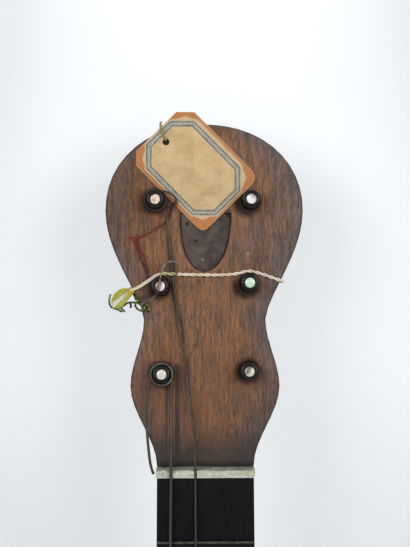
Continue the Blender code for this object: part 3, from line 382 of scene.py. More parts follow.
over_nut = under_string(0) - FOURTH_RADIUS
wound = winding("bass_upper", FOURTH_RADIUS, 4.2, 1, 0, 2.05)
fourth = smooth_route([*over_face(
    (-15, 133.2, 1.6), (-14.3, 134.9, 2.4), (-14.5, 136.5, 3.4), (-15.6, 138.2, 4.9),
    (-17.8, 139.6, 6.4), (-20.6, 140.6, 7.6)), wound[0]], 0.6)[:-1] + wound
fourth += smooth_route([wound[-1], *over_face(
    (-18.1, 118, 2.3), (-16.5, 97, 1), (-14.9, 85, 1.2), (-11.7, 64.5, 2), (-7.6, 30.8, 3.7),
    (-5.6, 10, 5)), nut_point(-5.1, over_nut)], 6)[1:]
fourth = to_bridge(fourth, over_nut, -5.1, -5.6, FOURTH_RADIUS)
make_piece(cord_mesh([fourth], FOURTH_RADIUS), "fourth_string", overspun,
           ["string_fourth"])

over_nut = board_top - 2.1 - STRING_CLEARANCE - SIXTH_RADIUS
sixth = winding("bass_lower", SIXTH_RADIUS, 3.2, 1, math.radians(30))
sixth += smooth_route([sixth[-1], *over_face((-17.5, 33, 4.2), (-17.5, 10, 6.2)),
                       nut_point(-17.6, over_nut)], 6)[1:]
sixth = to_bridge(sixth, over_nut, -17.6, -28, SIXTH_RADIUS)
make_piece(cord_mesh([sixth], SIXTH_RADIUS), "sixth_string", overspun,
           ["string_sixth"])

# The neck is one length of beech, rounded behind, with a shaped heel, stained nearly black
# and oiled. The head's core is a plate of the same wood, glued to it in a V joint.


def softened(node, name, finish, edge, sharp=30, flat=1):
    """A copy of a solid with its sharp edges eased, which then stands for it."""
    bm = bmesh.new()
    bm.from_mesh(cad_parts[node].data)
    for layer in list(bm.loops.layers.float_vector.values()):
        bm.loops.layers.float_vector.remove(layer)
    bmesh.ops.remove_doubles(bm, verts=bm.verts, dist=0.01 * MM)
    bmesh.ops.dissolve_limit(bm, angle_limit=math.radians(flat), verts=bm.verts, edges=bm.edges)
    edges = [e for e in bm.edges
             if len(e.link_faces) == 2 and e.calc_face_angle(0) > math.radians(sharp)]
    bmesh.ops.bevel(bm, geom=edges, offset=edge * MM, offset_type="OFFSET", affect="EDGES",
                    segments=2, profile=0.5, material=-1, clamp_overlap=True)
    make_piece(bm, name, finish, [node], sharp=50)


stained = Finish("black_stained_beech")
at = stained.place()
fleck = at.noise((1.1, 1.1, 16), 3)
rubbed = at.noise((30, 30, 90), 4, 0.6).rise(0.52, 0.75)
tone = stained.mix((0.016, 0.012, 0.01), (0.075, 0.038, 0.02), rubbed * 0.8)
stained.paint(tone.times(0.55 + fleck * 0.9), 0.36 + fleck * 0.16, fleck, 0.06)
softened("neck", "neck_carved", stained, 0.4)
softened("head_plate", "head_core_plate", stained, 0.6)

# The head's front is a leaf of rosewood sawn along the grain, oiled, and darkened by hands
# above the nut. Round the pegs it is dark with dirt and painted peg shadows, along its edges
# with dirt and painted edge shade, and towards its rim and treble side it is greyed with painted
# sheen.
CROWN, WAIST, LOBE, FOOT = (50.8, 131), (31.2, 75), (38.3, 40.8), 24.85
HEAD_LENGTH = 175.4
HEAD_STOPS, CROWDED = 29, 1.5           # steps of the outline, crowded towards the crown
SHIELD_FOOT, SHIELD_HEIGHT, SHIELD_HALF = 99.5, 30, 13


def ease(t):
    return t * t * (3 - 2 * t)


def head_half_width(v):
    if v > CROWN[1]:
        rise = (v - CROWN[1]) / (HEAD_LENGTH - CROWN[1])
        return CROWN[0] * max(0, 1 - rise ** 2.1) ** (1 / 2.1)
    if v > WAIST[1]:
        t = ((v - WAIST[1]) / (CROWN[1] - WAIST[1])) ** 0.8
        return WAIST[0] + (CROWN[0] - WAIST[0]) * ease(t)
    if v > LOBE[1]:
        return LOBE[0] + (WAIST[0] - LOBE[0]) * ease((v - LOBE[1]) / (WAIST[1] - LOBE[1]))
    return FOOT + (LOBE[0] - FOOT) * ease(v / LOBE[1])


def shield_side(v):
    """How far up the shield a place is, from 0 to 1, and the shield's half width there."""
    up = ((v - SHIELD_FOOT) / SHIELD_HEIGHT).above(0).below(1)
    return up, (up ** 0.5 * (math.pi / 2)).sine() * SHIELD_HALF


veneer = Finish("rosewood_leaf", specular_ior_level=0.25)
at = veneer.head_place()
x, deep, v = at.parts()
levels = [head_half_width(HEAD_LENGTH * (1 - (1 - i / HEAD_STOPS) ** CROWDED)) / CROWN[0]
          for i in range(HEAD_STOPS + 1)]
up_head = 1 - (1 - (v / HEAD_LENGTH).below(1).above(0)) ** (1 / CROWDED)
rim = veneer.curve(up_head, levels) * CROWN[0] - abs(x)
drift = at.noise((30, 30, 60)) - 0.5
slanted = veneer.combined(x + v * 0.03 + drift * 4, deep, v)
broad = slanted.noise((11, 30, 42), 3, 0.6)
streak = slanted.noise((1.9, 10, 20), 3, 0.7)
fine = slanted.noise((0.7, 10, 5.5), 3, 0.7)
dashes = slanted.noise((1, 10, 5.2), 2, 0.6, 0.15).rise(0.54, 0.66)
pores = slanted.noise((0.6, 10, 3.5), 1).rise(0.56, 0.68)
glints = slanted.noise((1, 10, 7), 2, 0.6).rise(0.55, 0.7)
smear = at.noise((7, 6, 11), 3, 0.6)
uneven = smear - 0.5
# painted sheen: the wood is greyed within 15 mm of the rim and towards the treble side, besides
# in random grey patches
sheen_and_grey_patches = rim.rise(15, 1) * 0.7 + x.rise(-5, 35) * 0.45 + (broad - 0.5) * 1.7 - 0.08
sheen_and_grey_patches = sheen_and_grey_patches.below(1).above(0)
warm = veneer.mix((0.286, 0.125, 0.051), (0.15, 0.077, 0.044), streak.rise(0.36, 0.64))
cool = veneer.mix((0.172, 0.121, 0.102), (0.092, 0.069, 0.062), streak.rise(0.36, 0.64))
wood = warm.mix(cool, sheen_and_grey_patches)
wood = wood.mix((0.34, 0.145, 0.055), glints * 0.38 * (1 - sheen_and_grey_patches * 0.5))
wood = wood.times(0.32 + fine * 1.34)
wood = wood.mix((0.05, 0.032, 0.028), dashes * (0.26 + broad * 0.45))
wood = wood.mix((0.038, 0.028, 0.025), pores * 0.42)
up, half = shield_side(v)
beside = abs(x) - half
bare = (beside + uneven * 4).rise(5.2, 0.8) * v.rise(121, 110) * v.rise(96.5, 100)
wood = wood.mix((0.3, 0.13, 0.06), bare * (0.2 + v.rise(113, 104) * 0.3))
seam = beside.rise(1.4, 0.4) * v.rise(103.5, 110) * v.rise(132.5, 130)
wood = wood.mix((0.03, 0.025, 0.022), seam * (0.42 + x.rise(-4, 6) * 0.3))
ruddy = at.noise((9, 10, 16), 3, 0.6).rise(0.38, 0.62) * v.rise(70, 45)
wood = wood.mix((0.2, 0.078, 0.036), ruddy * 0.34)
dull_side = x.rise(-12, -36) * v.rise(100, 130) * 0.3 + v.rise(60, 20) * 0.16
dull_side = dull_side + x.rise(10, 30) * v.rise(60, 20) * 0.14
wood = wood.times(1 - dull_side)
# dirt and painted peg shadows darken the wood round each peg; the shadows of the upper and middle
# treble pegs fall towards the bass side and the nut
dirt_and_peg_shadow = 1
for word, (px, pv) in PEG_PLACES.items():
    lean = 1.6 if word in ("treble_upper", "treble_middle") else 0.4
    away = at.far((px - lean, -FACE, pv - lean)) + uneven * 3
    dirt_and_peg_shadow = away.rise(4.8, 8.5) * dirt_and_peg_shadow
# each dark streak, the first ten beside the fourth and sixth strings being painted string
# shadows mixed with stain, the rest dark lines in the wood: its upper end, its lower end,
# how wide, and how dark
STREAKS = (
    (-18.8, 118.5, -16, 85, 0.7, 0.55), (-16, 85, -12.8, 61, 0.7, 0.4),
    (-17.4, 118.5, -13.7, 85, 0.7, 0.5), (-13.7, 85, -10.5, 64, 0.8, 0.5),
    (-9.2, 51, -7.8, 38.3, 0.6, 0.3), (-7.8, 38.3, -4.7, 9, 0.7, 0.62),
    (-14, 52, -14.2, 23, 1.6, 0.76), (-14.2, 23, -14.8, 2, 1.7, 0.85),
    (-19.4, 41, -20.2, 2, 0.8, 0.7), (-10, 48, -9.5, 28, 0.9, 0.35),
    (-3.2, 70, -3.6, 64, 0.7, 0.45), (-3.6, 64, -9.4, 53, 0.7, 0.5),
    (-9.4, 53, -9.5, 50, 0.9, 0.6), (-1.6, 63, -1.3, 50, 0.4, 0.6),
    (10.7, 31, 8.8, 18.5, 0.4, 0.55), (4, 58, 4.6, 47, 0.3, 0.4))
for x0, v0, x1, v1, wide, share in STREAKS:
    lean = (x1 - x0) / (v1 - v0)
    aside = abs(x - v * lean + (v0 * lean - x0) + uneven * 0.6) * math.cos(math.atan(lean))
    within = v.rise(v1 - 0.8, v1 + 0.8) * v.rise(v0 + 0.8, v0 - 0.8)
    wood = wood.mix((0.034, 0.027, 0.023), aside.rise(wide * 1.3, wide * 0.3) * within * share)
above_middle = (v - 88.8 - x * 0.55 - 14.5).rise(3, -1)
below_middle = (v - 82.5 - (x + 33) * 0.55 - smear * 3).rise(-2, 2)
left_of_middle = above_middle * below_middle * x.rise(-18.5, -22.5)
in_ring = at.far((-17.8, -FACE, 101.2)).rise(4.4, 3)
wood = wood.mix((0.036, 0.028, 0.025), (left_of_middle * 0.78).above(in_ring * 0.45))
by_nut = (v + uneven * 14).rise(22, 5)
by_nut = by_nut * (0.84 + x.rise(0, -12) * 0.1 + x.rise(4, 18) * 0.09)
wood = wood.mix((0.04, 0.033, 0.031), by_nut)
# painted shadow: a dark line along the foot of the head, against the nut
wood = wood.mix((0.018, 0.016, 0.015), (v + smear * 2).rise(4.2, 1.6) * 0.8)
nick = at.far((22.4, -FACE, 108.7)).rise(1, 0.4)
wood = wood.mix((0.42, 0.27, 0.18), nick * 0.7)
# painted shade: the wood under the label's hole is painted nearly black, and the last millimetre
# at the rim is darkened with dirt and painted edge shade
shade_in_card_hole = at.far((-19.5, -FACE, 166.4)).rise(3, 2)
wood = wood.times((0.2 + dirt_and_peg_shadow * 0.8) * (0.45 + rim.rise(0.3, 1.2) * 0.55)
                  * (1 - shade_in_card_hole * 0.93))
veneer.paint(wood, 0.42 + fine * 0.2 + (1 - dirt_and_peg_shadow) * 0.1,
             fine * 0.4 - pores * 0.8 - dashes * 0.4 + smear * 0.5, 0.09)
softened("head_veneer", "head_front", veneer, 0.35)

# A shield of darker wood is let into the head's front, a little below its face. Two holes
# are drilled in it, painted dark as the shade in them, and its edge is black with glue, dirt
# and painted shade from the recess's wall.
shield = Finish("shield_wood", roughness=0.62, specular_ior_level=0.3)
at = shield.head_place()
x, _, v = at.parts()
grain = at.noise((1.1, 10, 8), 3, 0.6)
cloud = at.noise((6, 10, 7), 3, 0.6)
speckle = at.noise((0.7, 10, 0.7), 2, 0.7)
tone = shield.mix((0.048, 0.034, 0.031), (0.118, 0.086, 0.07), cloud.rise(0.35, 0.7))
tone = tone.times((0.66 + grain * 0.68) * (0.7 + speckle * 0.6))
tone = tone.mix((0.13, 0.082, 0.062), x.rise(-3, -11) * 0.5)
tone = tone.times(1 - x.rise(1, 11) * 0.36)
up, half = shield_side(v)
# glue, dirt and painted shade from the recess's wall darken the shield within a millimetre of its
# edge, and its holes are painted nearly black as shade
side = half - abs(x - up * 0.8)
holes = 1
for px, pv, size in ((-8.9, 124.3, 0.7), (-4.3, 115.4, 0.5), (12.8, 129, 1.3)):
    holes = at.far((px, -1.4, pv)).rise(size, size * 1.6) * holes
speck = 1 - at.far((-1, -1.4, 105.8)).rise(0.2, 0.7)
tone = tone.times((0.3 + side.rise(0.2, 1.2) * 0.7) * (0.12 + holes * 0.88))
tone = tone.mix((0.42, 0.36, 0.29), speck * 0.8)
shield.paint(tone, relief=grain + holes * 2, depth=0.12)
softened("shield_inlay", "shield", shield, 0.15)

# Six ebony pegs are turned between centres, with a flat leaf to hold, and pushed from behind
# into tapered holes. A pearl eye is let into the end of each.
PEG_TURNS = {"bass_lower": 20, "treble_lower": -65, "bass_middle": 75,
             "treble_middle": 10, "bass_upper": -35, "treble_upper": 100}
COLLAR = -16.6                # where the collar starts, behind the core
# how light and dark each eye is, its cracks, which way it darkens, its mottling, its mean tone
EYE_LOOKS = {
    "bass_lower": ((0.9, 0.83, 0.74), (0.36, 0.26, 0.18), 1, (-0.1, 0), 3, 0.12),
    "treble_lower": ((0.74, 0.69, 0.58), (0.2, 0.17, 0.13), 0.3, (-0.85, 0.7), 1.8, 0.58),
    "bass_middle": ((0.92, 0.76, 0.8), (0.22, 0.08, 0.06), 0.2, (-1.1, 0.6), 2.8, 0.66),
    "treble_middle": ((0.64, 0.81, 0.64), (0.46, 0.63, 0.48), 0.1, (0.1, -0.2), 1.4, 0.3),
    "bass_upper": ((0.92, 0.82, 0.68), (0.42, 0.24, 0.1), 0.2, (-0.4, 0.3), 4.5, 0.42),
    "treble_upper": ((0.88, 0.82, 0.86), (0.26, 0.24, 0.21), 0.1, (0.7, 0.85), 1.4, 0.08)}


def turned(profile, steps, stand):
    """A profile of (radius, height) from axis to axis, spun round Z and then put in place."""
    bm = bmesh.new()
    points = [bm.verts.new((r * MM, 0, h * MM)) for r, h in profile]
    edges = [bm.edges.new(pair) for pair in zip(points, points[1:])]
    bmesh.ops.spin(bm, geom=points + edges, axis=(0, 0, 1), cent=(0, 0, 0), angle=math.tau,
                   steps=steps, use_merge=True)
    bmesh.ops.remove_doubles(bm, verts=bm.verts, dist=0.005 * MM)
    bmesh.ops.transform(bm, matrix=stand, verts=bm.verts)
    return bm


def arc(centre, radius, start, end, count):
    """Points of a rounded edge in a profile, by angle from straight outwards."""
    angles = [math.radians(start + (end - start) * i / count) for i in range(count + 1)]
    return [(centre[0] + radius * math.cos(a), centre[1] + radius * math.sin(a))
            for a in angles]


def joined(base, steps):
    """A solid after others have been added to it or taken from it."""
    blanks = []
    for operation, bm in [("", base)] + steps:
        bmesh.ops.recalc_face_normals(bm, faces=bm.faces)
        blanks.append(added("blank", as_mesh(bm, "blank")))
        if operation:
            cut = blanks[0].modifiers.new("cut", "BOOLEAN")
            cut.operation, cut.object, cut.solver = operation, blanks[-1], "EXACT"
    graph = bpy.context.evaluated_depsgraph_get()
    made = bpy.data.meshes.new_from_object(blanks[0].evaluated_get(graph))
    for blank in blanks:
        bpy.data.objects.remove(blank, do_unlink=True)
    return made


ebony = Finish("ebony", specular_ior_level=0.32)
at = ebony.place()
grain = at.noise((0.6, 0.6, 12), 3, 0.6)
handled = at.noise(8, 3)
tone = ebony.mix((0.0035, 0.004, 0.0042), (0.014, 0.013, 0.012), grain.rise(0.45, 0.75))
ebony.paint(tone, 0.16 + handled * 0.22, grain, 0.03)

stem = turned([(0, PEG_TIP - 1.5), (2.85, PEG_TIP - 1.5),
               *arc((3.17, PEG_TIP - 0.3), 0.3, 180, 90, 4),
               *arc((PEG_TIP_RADIUS - 1.05, PEG_TIP - 1.05), 1.05, 90, 0, 7),
               (shaft_radius(COLLAR), COLLAR), *arc((6, COLLAR - 0.5), 0.5, 90, 0, 4),
               *arc((6, COLLAR - 1.2), 0.6, 60, -60, 5),
               *arc((5.6, COLLAR - 2.4), 0.8, 40, -70, 5),
               (4.2, COLLAR - 3.8), (3.4, COLLAR - 5), (3.2, COLLAR - 6.6),
               (3.4, COLLAR - 9), (0, COLLAR - 10)], 48, Matrix.Identity(4))
leaf = bmesh.new()
bmesh.ops.create_uvsphere(leaf, u_segments=48, v_segments=28, radius=1)
for vert in leaf.verts:
    x, y, z = vert.co
    low = (1 - z) / 2
    wide = 12.5 * (0.62 + 0.38 * math.sin(math.pi * min(1, low * 1.06) ** 0.9))
    thick = 3.3 * (1 - 0.42 * low) * (1 - 0.3 * math.exp(-((x / 0.55) ** 2 + (z / 0.6) ** 2)))
    notch = 2.2 * math.exp(-(x / 0.3) ** 2) * ease(low)
    vert.co = (x * wide * MM, math.copysign(abs(y) ** 0.75, y) * thick * MM,
               (z * 10 + notch) * MM)
bmesh.ops.translate(leaf, verts=leaf.verts, vec=(0, 0, (COLLAR - 16.2) * MM))
drill = bmesh.new()
bmesh.ops.create_cone(drill, cap_ends=True, segments=20, radius1=0.8 * MM, radius2=0.8 * MM,
                      depth=20 * MM, matrix=Matrix.Translation((0, 0, (FACE + 9) * MM))
                      @ Matrix.Rotation(math.pi / 2, 4, "Y"))
peg_mesh = joined(stem, [("UNION", leaf), ("DIFFERENCE", drill)])

for word, (px, pv) in PEG_PLACES.items():
    stand = HEAD @ Matrix.Translation((px * MM, pv * MM, 0)) @ Matrix.Rotation(
        math.radians(PEG_TURNS[word]), 4, "Z")
    bm = bmesh.new()
    bm.from_mesh(peg_mesh)
    bmesh.ops.transform(bm, matrix=stand, verts=bm.verts)
    make_piece(bm, f"{word}_peg_turned", ebony, [f"peg_{word}"], f"{word}_peg", 50)
    light, dark, cracked, way, mottled, mean = EYE_LOOKS[word]
    pearl = Finish(f"pearl_{word}", coat_weight=0.6, coat_roughness=0.08)
    at = pearl.head_place(on_head(px, pv, PEG_TIP))
    cloud = at.noise(1.4, 3, 0.6, 0.8)
    sheen = at.noise((3, 3, 1.2), 2, 0.5, 1.5)
    across, _, up = at.parts()
    side = across * (way[0] / 2.5) + up * (way[1] / 2.5) + (cloud - 0.5) * mottled + mean
    tone = pearl.mix(light, dark, side.rise(0, 1))
    tone = tone.mix((0.88, 0.88, 0.92), sheen.rise(0.58, 0.76) * 0.35)
    line = pearl.node("TexVoronoi", {"feature": "DISTANCE_TO_EDGE"},
                      {"Vector": at, "Scale": 0.9}).rise(0.03, 0.1)
    tone = tone.times(1 - (1 - line) * 0.5 * cracked)
    tone = tone.times(0.35 + at.far((0, 0, 0)).rise(2.75, 2.2) * 0.65)
    pearl.paint(tone, 0.16 + cloud * 0.2, cloud, 0.04)
    bm = turned([(r, PEG_TIP + h) for r, h in (
        (0, 0.3), (1, 0.25), (1.8, 0.13), (2.4, -0.04), (2.58, -0.16), (2.65, -0.35),
        (2.65, -1.2), (0, -1.2))], 40, stand)
    make_piece(bm, f"{word}_eye", pearl, [f"peg_{word}_eye"], f"{word}_peg", 50)

# The nut is a strip of bone across the end of the fingerboard, filed with six grooves. Its
# upper side is grey with dirt and painted shade where it meets the head, and the metal of
# the strings has stained it green.
bone = Finish("old_bone")
at = bone.place()
x, _, z = at.parts()
cloud = at.noise((6, 3, 2), 4, 0.6)
drips = at.noise((0.7, 3, 6), 2, 0.6)
flecks = at.noise((0.9, 3, 1.2), 2, 0.6).rise(0.62, 0.72)
tone = bone.mix((0.64, 0.635, 0.52), (0.4, 0.4, 0.3), cloud.rise(0.32, 0.68))
tone = tone.mix((0.1, 0.095, 0.06), flecks * 0.6)
stain = drips.rise(0.6, 0.74) * x.rise(4, -4) * z.rise(3.5, 1)
tone = tone.mix((0.09, 0.085, 0.045), stain * 0.6)
# dirt and painted shade along its side against the head
grime_and_shade_by_head = (z + (cloud - 0.5) * 1.4).rise(3.7, 4.8)
tone = tone.mix((0.05, 0.05, 0.03), grime_and_shade_by_head * 0.7)
tone = tone.mix((0.82, 0.8, 0.7), z.rise(1.2, 0.3) * (0.35 + cloud * 0.6))
bone.paint(tone, 0.4 + cloud * 0.2, drips, 0.05)
softened("nut", "nut_filed", bone, 0.2, sharp=45)
softened("saddle", "saddle_filed", bone, 0.2, sharp=45)

# The fingerboard is a plain strip of ebony, planed matt, glued to the neck and running on
# over the soundboard to the soundhole. Brass bars are hammered into its saw cuts as frets.
board = Finish("planed_ebony", specular_ior_level=0.12)
at = board.place()
grain = at.noise((0.7, 0.7, 20), 3, 0.6)
rubbed = at.noise((12, 12, 20), 3)
dust = at.noise(1.2, 3, 0.7).rise(0.56, 0.74)
tone = board.mix((0.003, 0.0036, 0.0042), (0.011, 0.011, 0.011), grain.rise(0.4, 0.8))
tone = tone.mix((0.021, 0.022, 0.024), dust * (rubbed.rise(0.35, 0.65) * 0.8 + 0.1))
board.paint(tone, 0.5 + rubbed * 0.2, grain, 0.05)
softened("fingerboard", "fingerboard_planed", board, 0.25)

brass = Finish("worn_brass", metallic=0.5)
at = brass.place()
tarnish = at.noise(3, 3, 0.6)
file_marks = at.noise((6, 0.4, 0.2))
tone = brass.mix((0.11, 0.106, 0.08), (0.045, 0.047, 0.037), tarnish.rise(0.38, 0.62))
brass.paint(tone, 0.45 + tarnish * 0.3, file_marks, 0.03)
for k in range(1, 18):
    softened(f"fret_{k:02d}", f"fret_bar_{k:02d}", brass, 0.15)

# The soundboard is two matched leaves of spruce, varnished and gone golden, with strips of
# dark and light wood let in round its edge and rings of the same round the soundhole.
SOUNDHOLE_Z = (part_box("upper_top_bar")[0][2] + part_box("lower_top_bar")[1][2]) / 2 / MM
DARK, PALE = (0.03, 0.018, 0.012), (0.72, 0.6, 0.42)
STRIP_DEPTH, STRIP_PROUD = 0.8, 0.05


def spruce_tone(finish, at):
    """Colour and relief of spruce, with its growth lines running along Z."""
    wander = at.noise((50, 50, 400)) - 0.5
    ring = ((abs(at.parts()[0]) + wander * 8) / 1.7).fraction()
    late = ring.rise(0.45, 0.95)
    fibre = at.noise((0.6, 0.6, 30), 3, 0.6)
    shade = at.noise((80, 80, 250), 3)
    tone = finish.mix((0.66, 0.4, 0.165), (0.4, 0.205, 0.075), late * 0.75)
    return tone.times(0.66 + fibre * 0.34 + shade * 0.36), fibre + late * 0.6


spruce = Finish("varnished_spruce", coat_weight=0.15, coat_roughness=0.2)
at = spruce.place()
x, _, z = at.parts()
tone, relief = spruce_tone(spruce, at)
from_hole = (x * x + (z - SOUNDHOLE_Z) * (z - SOUNDHOLE_Z)).root()
in_front = spruce.facing((0, -1, 0)).rise(0.5, 0.8)
for start, wide, colour in ((43.5, 0.6, DARK), (44.7, 0.6, DARK), (48.5, 4, DARK),
                            (49.1, 0.6, PALE), (51.3, 0.6, PALE), (56, 0.6, DARK),
                            (57.2, 0.6, DARK)):
    away = abs(from_hole - (start + wide / 2))
    tone = tone.mix(colour, away.rise(wide / 2 + 0.08, wide / 2 - 0.08) * in_front)
wear = at.noise(30, 4, 0.6)
spruce.paint(tone, 0.34 + wear * 0.22, relief, 0.06)
softened("soundboard", "soundboard_leaves", spruce, 0.3)

dark_strip = Finish("dark_edge_strip", roughness=0.4)
pale_strip = Finish("pale_edge_strip", roughness=0.45)
for finish, first, second in ((dark_strip, (0.018, 0.011, 0.008), (0.05, 0.026, 0.016)),
                              (pale_strip, (0.66, 0.5, 0.3), (0.5, 0.36, 0.2))):
    finish.paint(finish.mix(first, second, finish.place().noise(4, 3)))
bm = bmesh.new()
bm.from_mesh(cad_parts["soundboard"].data)
bmesh.ops.remove_doubles(bm, verts=bm.verts, dist=0.01 * MM)
front_y = min(vert.co.y for vert in bm.verts)
inner = {v for v in bm.verts if math.hypot(v.co.x, v.co.z - SOUNDHOLE_Z * MM) < 60 * MM
         or math.hypot(v.co.x, v.co.z - (SADDLE_Z - 12) * MM) < 50 * MM}
outline = [e for e in bm.edges if e.calc_face_angle(0) > 1 and e.verts[0] not in inner
           and all(vert.co.y < front_y + 0.1 * MM for vert in e.verts)]
face = bmesh.ops.edgeloop_fill(bm, edges=outline)["faces"]
bmesh.ops.delete(bm, geom=[f for f in bm.faces if f not in face], context="FACES")
bmesh.ops.recalc_face_normals(bm, faces=face)
# a gap to the board's eased edge, then the strips from outside to inside: how wide, and which
for wide, index in ((0.06, None), (2, 0), (0.7, 1), (0.7, 0)):
    strip = bmesh.ops.inset_region(bm, faces=face, thickness=wide * MM, use_even_offset=True,
                                   use_boundary=True)["faces"]
    if index is None:
        bmesh.ops.delete(bm, geom=strip, context="FACES")
        strip = []
    for part in strip:
        part.material_index = index
bmesh.ops.delete(bm, geom=face, context="FACES")
under = bmesh.ops.extrude_face_region(bm, geom=list(bm.faces))["geom"]
under = [g for g in under if isinstance(g, bmesh.types.BMVert)]
bmesh.ops.translate(bm, vec=(0, STRIP_DEPTH * MM, 0), verts=under)
bmesh.ops.translate(bm, vec=(0, -STRIP_PROUD * MM, 0), verts=bm.verts)
strips = make_piece(bm, "edge_strips", dark_strip)
strips.data.materials.append(pale_strip.material)

raw_spruce = Finish("bare_spruce", roughness=0.7)
tone, relief = spruce_tone(raw_spruce, raw_spruce.place())
raw_spruce.paint(tone.times(0.9), relief=relief, depth=0.06)
for node in ("upper_top_bar", "lower_top_bar", "back_bar_1", "back_bar_2", "back_bar_3",
             "neck_block", "tail_block"):
    softened(node, f"{node}_planed", raw_spruce, 0.4)

# The ribs are bent from thin rosewood, with linings glued along their inner edges, and the
# back is rosewood too. Both are french polished.


def rosewood_finish(name, bent):
    """Polished rosewood, whose streaks run along Z or follow a bent rib."""
    finish = Finish(name, coat_weight=0.35, coat_roughness=0.12)
    at = finish.place()
    x, y, z = at.parts()
    drift = at.noise((50, 50, 140), 3) - 0.5
    if bent:
        grown = finish.combined(y + drift * 12, x * 0.08, z)
    else:
        grown = finish.combined(abs(x) + drift * 20, y, z)
    figure = grown.noise((12, 20, 260), 3, 0.6, 0.4)
    streak = grown.noise((2.6, 2.6, 90), 3, 0.6)
    pores = grown.noise((0.8, 0.8, 10), 1).rise(0.58, 0.68)
    tone = finish.mix((0.21, 0.078, 0.036), (0.052, 0.022, 0.015), figure.rise(0.38, 0.66))
    tone = tone.times(0.6 + streak * 0.8).mix((0.025, 0.015, 0.012), pores * 0.6)
    finish.paint(tone, 0.26 + streak * 0.14, pores * -1, 0.05)
    return finish


bent_rosewood = rosewood_finish("bent_rosewood", True)
for side in ("bass", "treble"):
    softened(f"rib_{side}", f"{side}_rib_bent", bent_rosewood, 0.3, flat=0.2)
softened("back_plate", "back_planed", rosewood_finish("planed_rosewood", False), 0.8,
         flat=0.2)

# The bridge is carved from ebony, with a low curl at each end, and glued to the soundboard.
# Six turned pins with pearl dots hold the strings' ends, and an end pin stands in the tail.
softened("bridge", "bridge_carved", ebony, 0.4)
dot = Finish("pearl_dot", roughness=0.25, coat_weight=0.4)
cloud = dot.place().noise(1.5, 3, 0.6, 0.8)
dot.paint(dot.mix((0.78, 0.74, 0.7), (0.52, 0.5, 0.46), cloud.rise(0.4, 0.7)))
pin_profile = [(0, 5), (1.1, 5), (1.2, 4.85), *arc((1.2, 2.6), 2.4, 80, 0, 6), (3.384, 1.2),
               (2.952, 0.3), (2.4, 0.3), (1.9, -20), (0, -20)]
for k in range(1, 7):
    low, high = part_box(f"bridge_pin_{k}")
    middle = Vector(((low.x + high.x) / 2, bridge_top * MM, (low.z + high.z) / 2))
    stand = Matrix.Translation(middle) @ Matrix.Rotation(math.pi / 2, 4, "X")
    pin = make_piece(turned(pin_profile, 28, stand), f"bridge_pin_turned_{k}", ebony,
                     [f"bridge_pin_{k}"])
    pin.data.materials.append(dot.material)
    for part in pin.data.polygons:
        part.material_index = int(part.center.y < (bridge_top - 4.8) * MM)
low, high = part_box("end_pin")
middle = Vector(((low.x + high.x) / 2, (low.y + high.y) / 2, low.z + 11 * MM))
make_piece(turned([(0, -11), *arc((3, -8.5), 2.5, 270, 330, 4), *arc((4, -7.2), 3, -20, 60, 6),
                   (4.4, -4.2), (5.2, -2), (5.9, -0.3), (4, -0.3), (3.6, 16), (0, 16)],
                  36, Matrix.Translation(middle)), "end_pin_turned", ebony, ["end_pin"])

# The label is a stiff card with cut corners, printed with a border of beads between two
# grey lines. Its face is tan, and its margin has worn to orange-brown.
CARD_CENTRE = (-5.1, 152.9)
CARD_TURN = math.radians(-45.7)
BORDER = (25.7, 17.6, 8.8)    # half length, half width, and cut off each corner
BEAD_PITCH = 1.15
CORNER = 1 / math.sqrt(2)

card = Finish("old_card", roughness=0.85, specular_ior_level=0.2)
x, _, v = card.head_place().parts()
across, up = x - CARD_CENTRE[0], v - CARD_CENTRE[1]
a = across * math.cos(CARD_TURN) + up * math.sin(CARD_TURN)
b = up * math.cos(CARD_TURN) - across * math.sin(CARD_TURN)
flat = card.combined(a, b, 0)
from_middle = abs(a) + abs(b)
ca, cb = a + 0.3, b + 0.4
beyond_end = BORDER[0] - abs(ca)
beyond_side = BORDER[1] - abs(cb)
beyond_cut = (BORDER[0] + BORDER[1] - BORDER[2] - abs(ca) - abs(cb)) * CORNER
wobble = flat.noise(4) - 0.5
inside = beyond_end.below(beyond_side).below(beyond_cut) + wobble * 0.4
on_end = (beyond_side - beyond_end).rise(-0.1, 0.1)
on_cut = (beyond_end.below(beyond_side) - beyond_cut).rise(-0.1, 0.1)
run = ca * (1 - on_end) + cb * on_end
run = run * (1 - on_cut) + (abs(ca) - abs(cb)) * (on_cut * CORNER)
bead = abs(((run + inside * 0.4) / BEAD_PITCH).fraction() - 0.5)
fibre = flat.noise(0.9, 3, 0.6)
cloud = flat.noise(10, 4, 0.6)
blots = flat.noise(3, 3, 0.7).rise(0.6, 0.76)
scratches = flat.noise((6, 1, 1), 2, 0.5, 0.6).rise(0.63, 0.72)
specks = flat.noise((1.4, 0.6, 0.6), 2, 0.6).rise(0.62, 0.74)
tan = card.mix((0.665, 0.485, 0.262), (0.525, 0.362, 0.176), cloud.rise(0.35, 0.7))
tan = tan.mix((0.39, 0.25, 0.125), blots * 0.5).mix((0.33, 0.22, 0.12), specks * 0.45)
tan = tan.mix((0.7, 0.56, 0.38), scratches * 0.5)
to_edge = (27.05 - abs(a)).below(20.35 - abs(b)).below((43.4 - from_middle) * CORNER)
worn_in = 1.2 + (b * -1).rise(6, 14) * 1.4 + a.rise(16, 22)
worn_in = worn_in - a.rise(-17, -23) * b.rise(16, 10) * 1.2
worn_in = worn_in.above(from_middle.rise(33.5, 37.5) * 4)
orange = (to_edge - worn_in + (blots + cloud - 0.7) * 1.2).rise(0.6, -0.6)
orange = orange * inside.rise(-0.3, -0.9)
margin = card.mix((0.6, 0.45, 0.265), (0.5, 0.205, 0.075), orange)
margin = margin.mix((0.4, 0.19, 0.085), blots * 0.5)
pale_edge = to_edge.rise(0.45, 0.15) * from_middle.rise(43, 41.8)
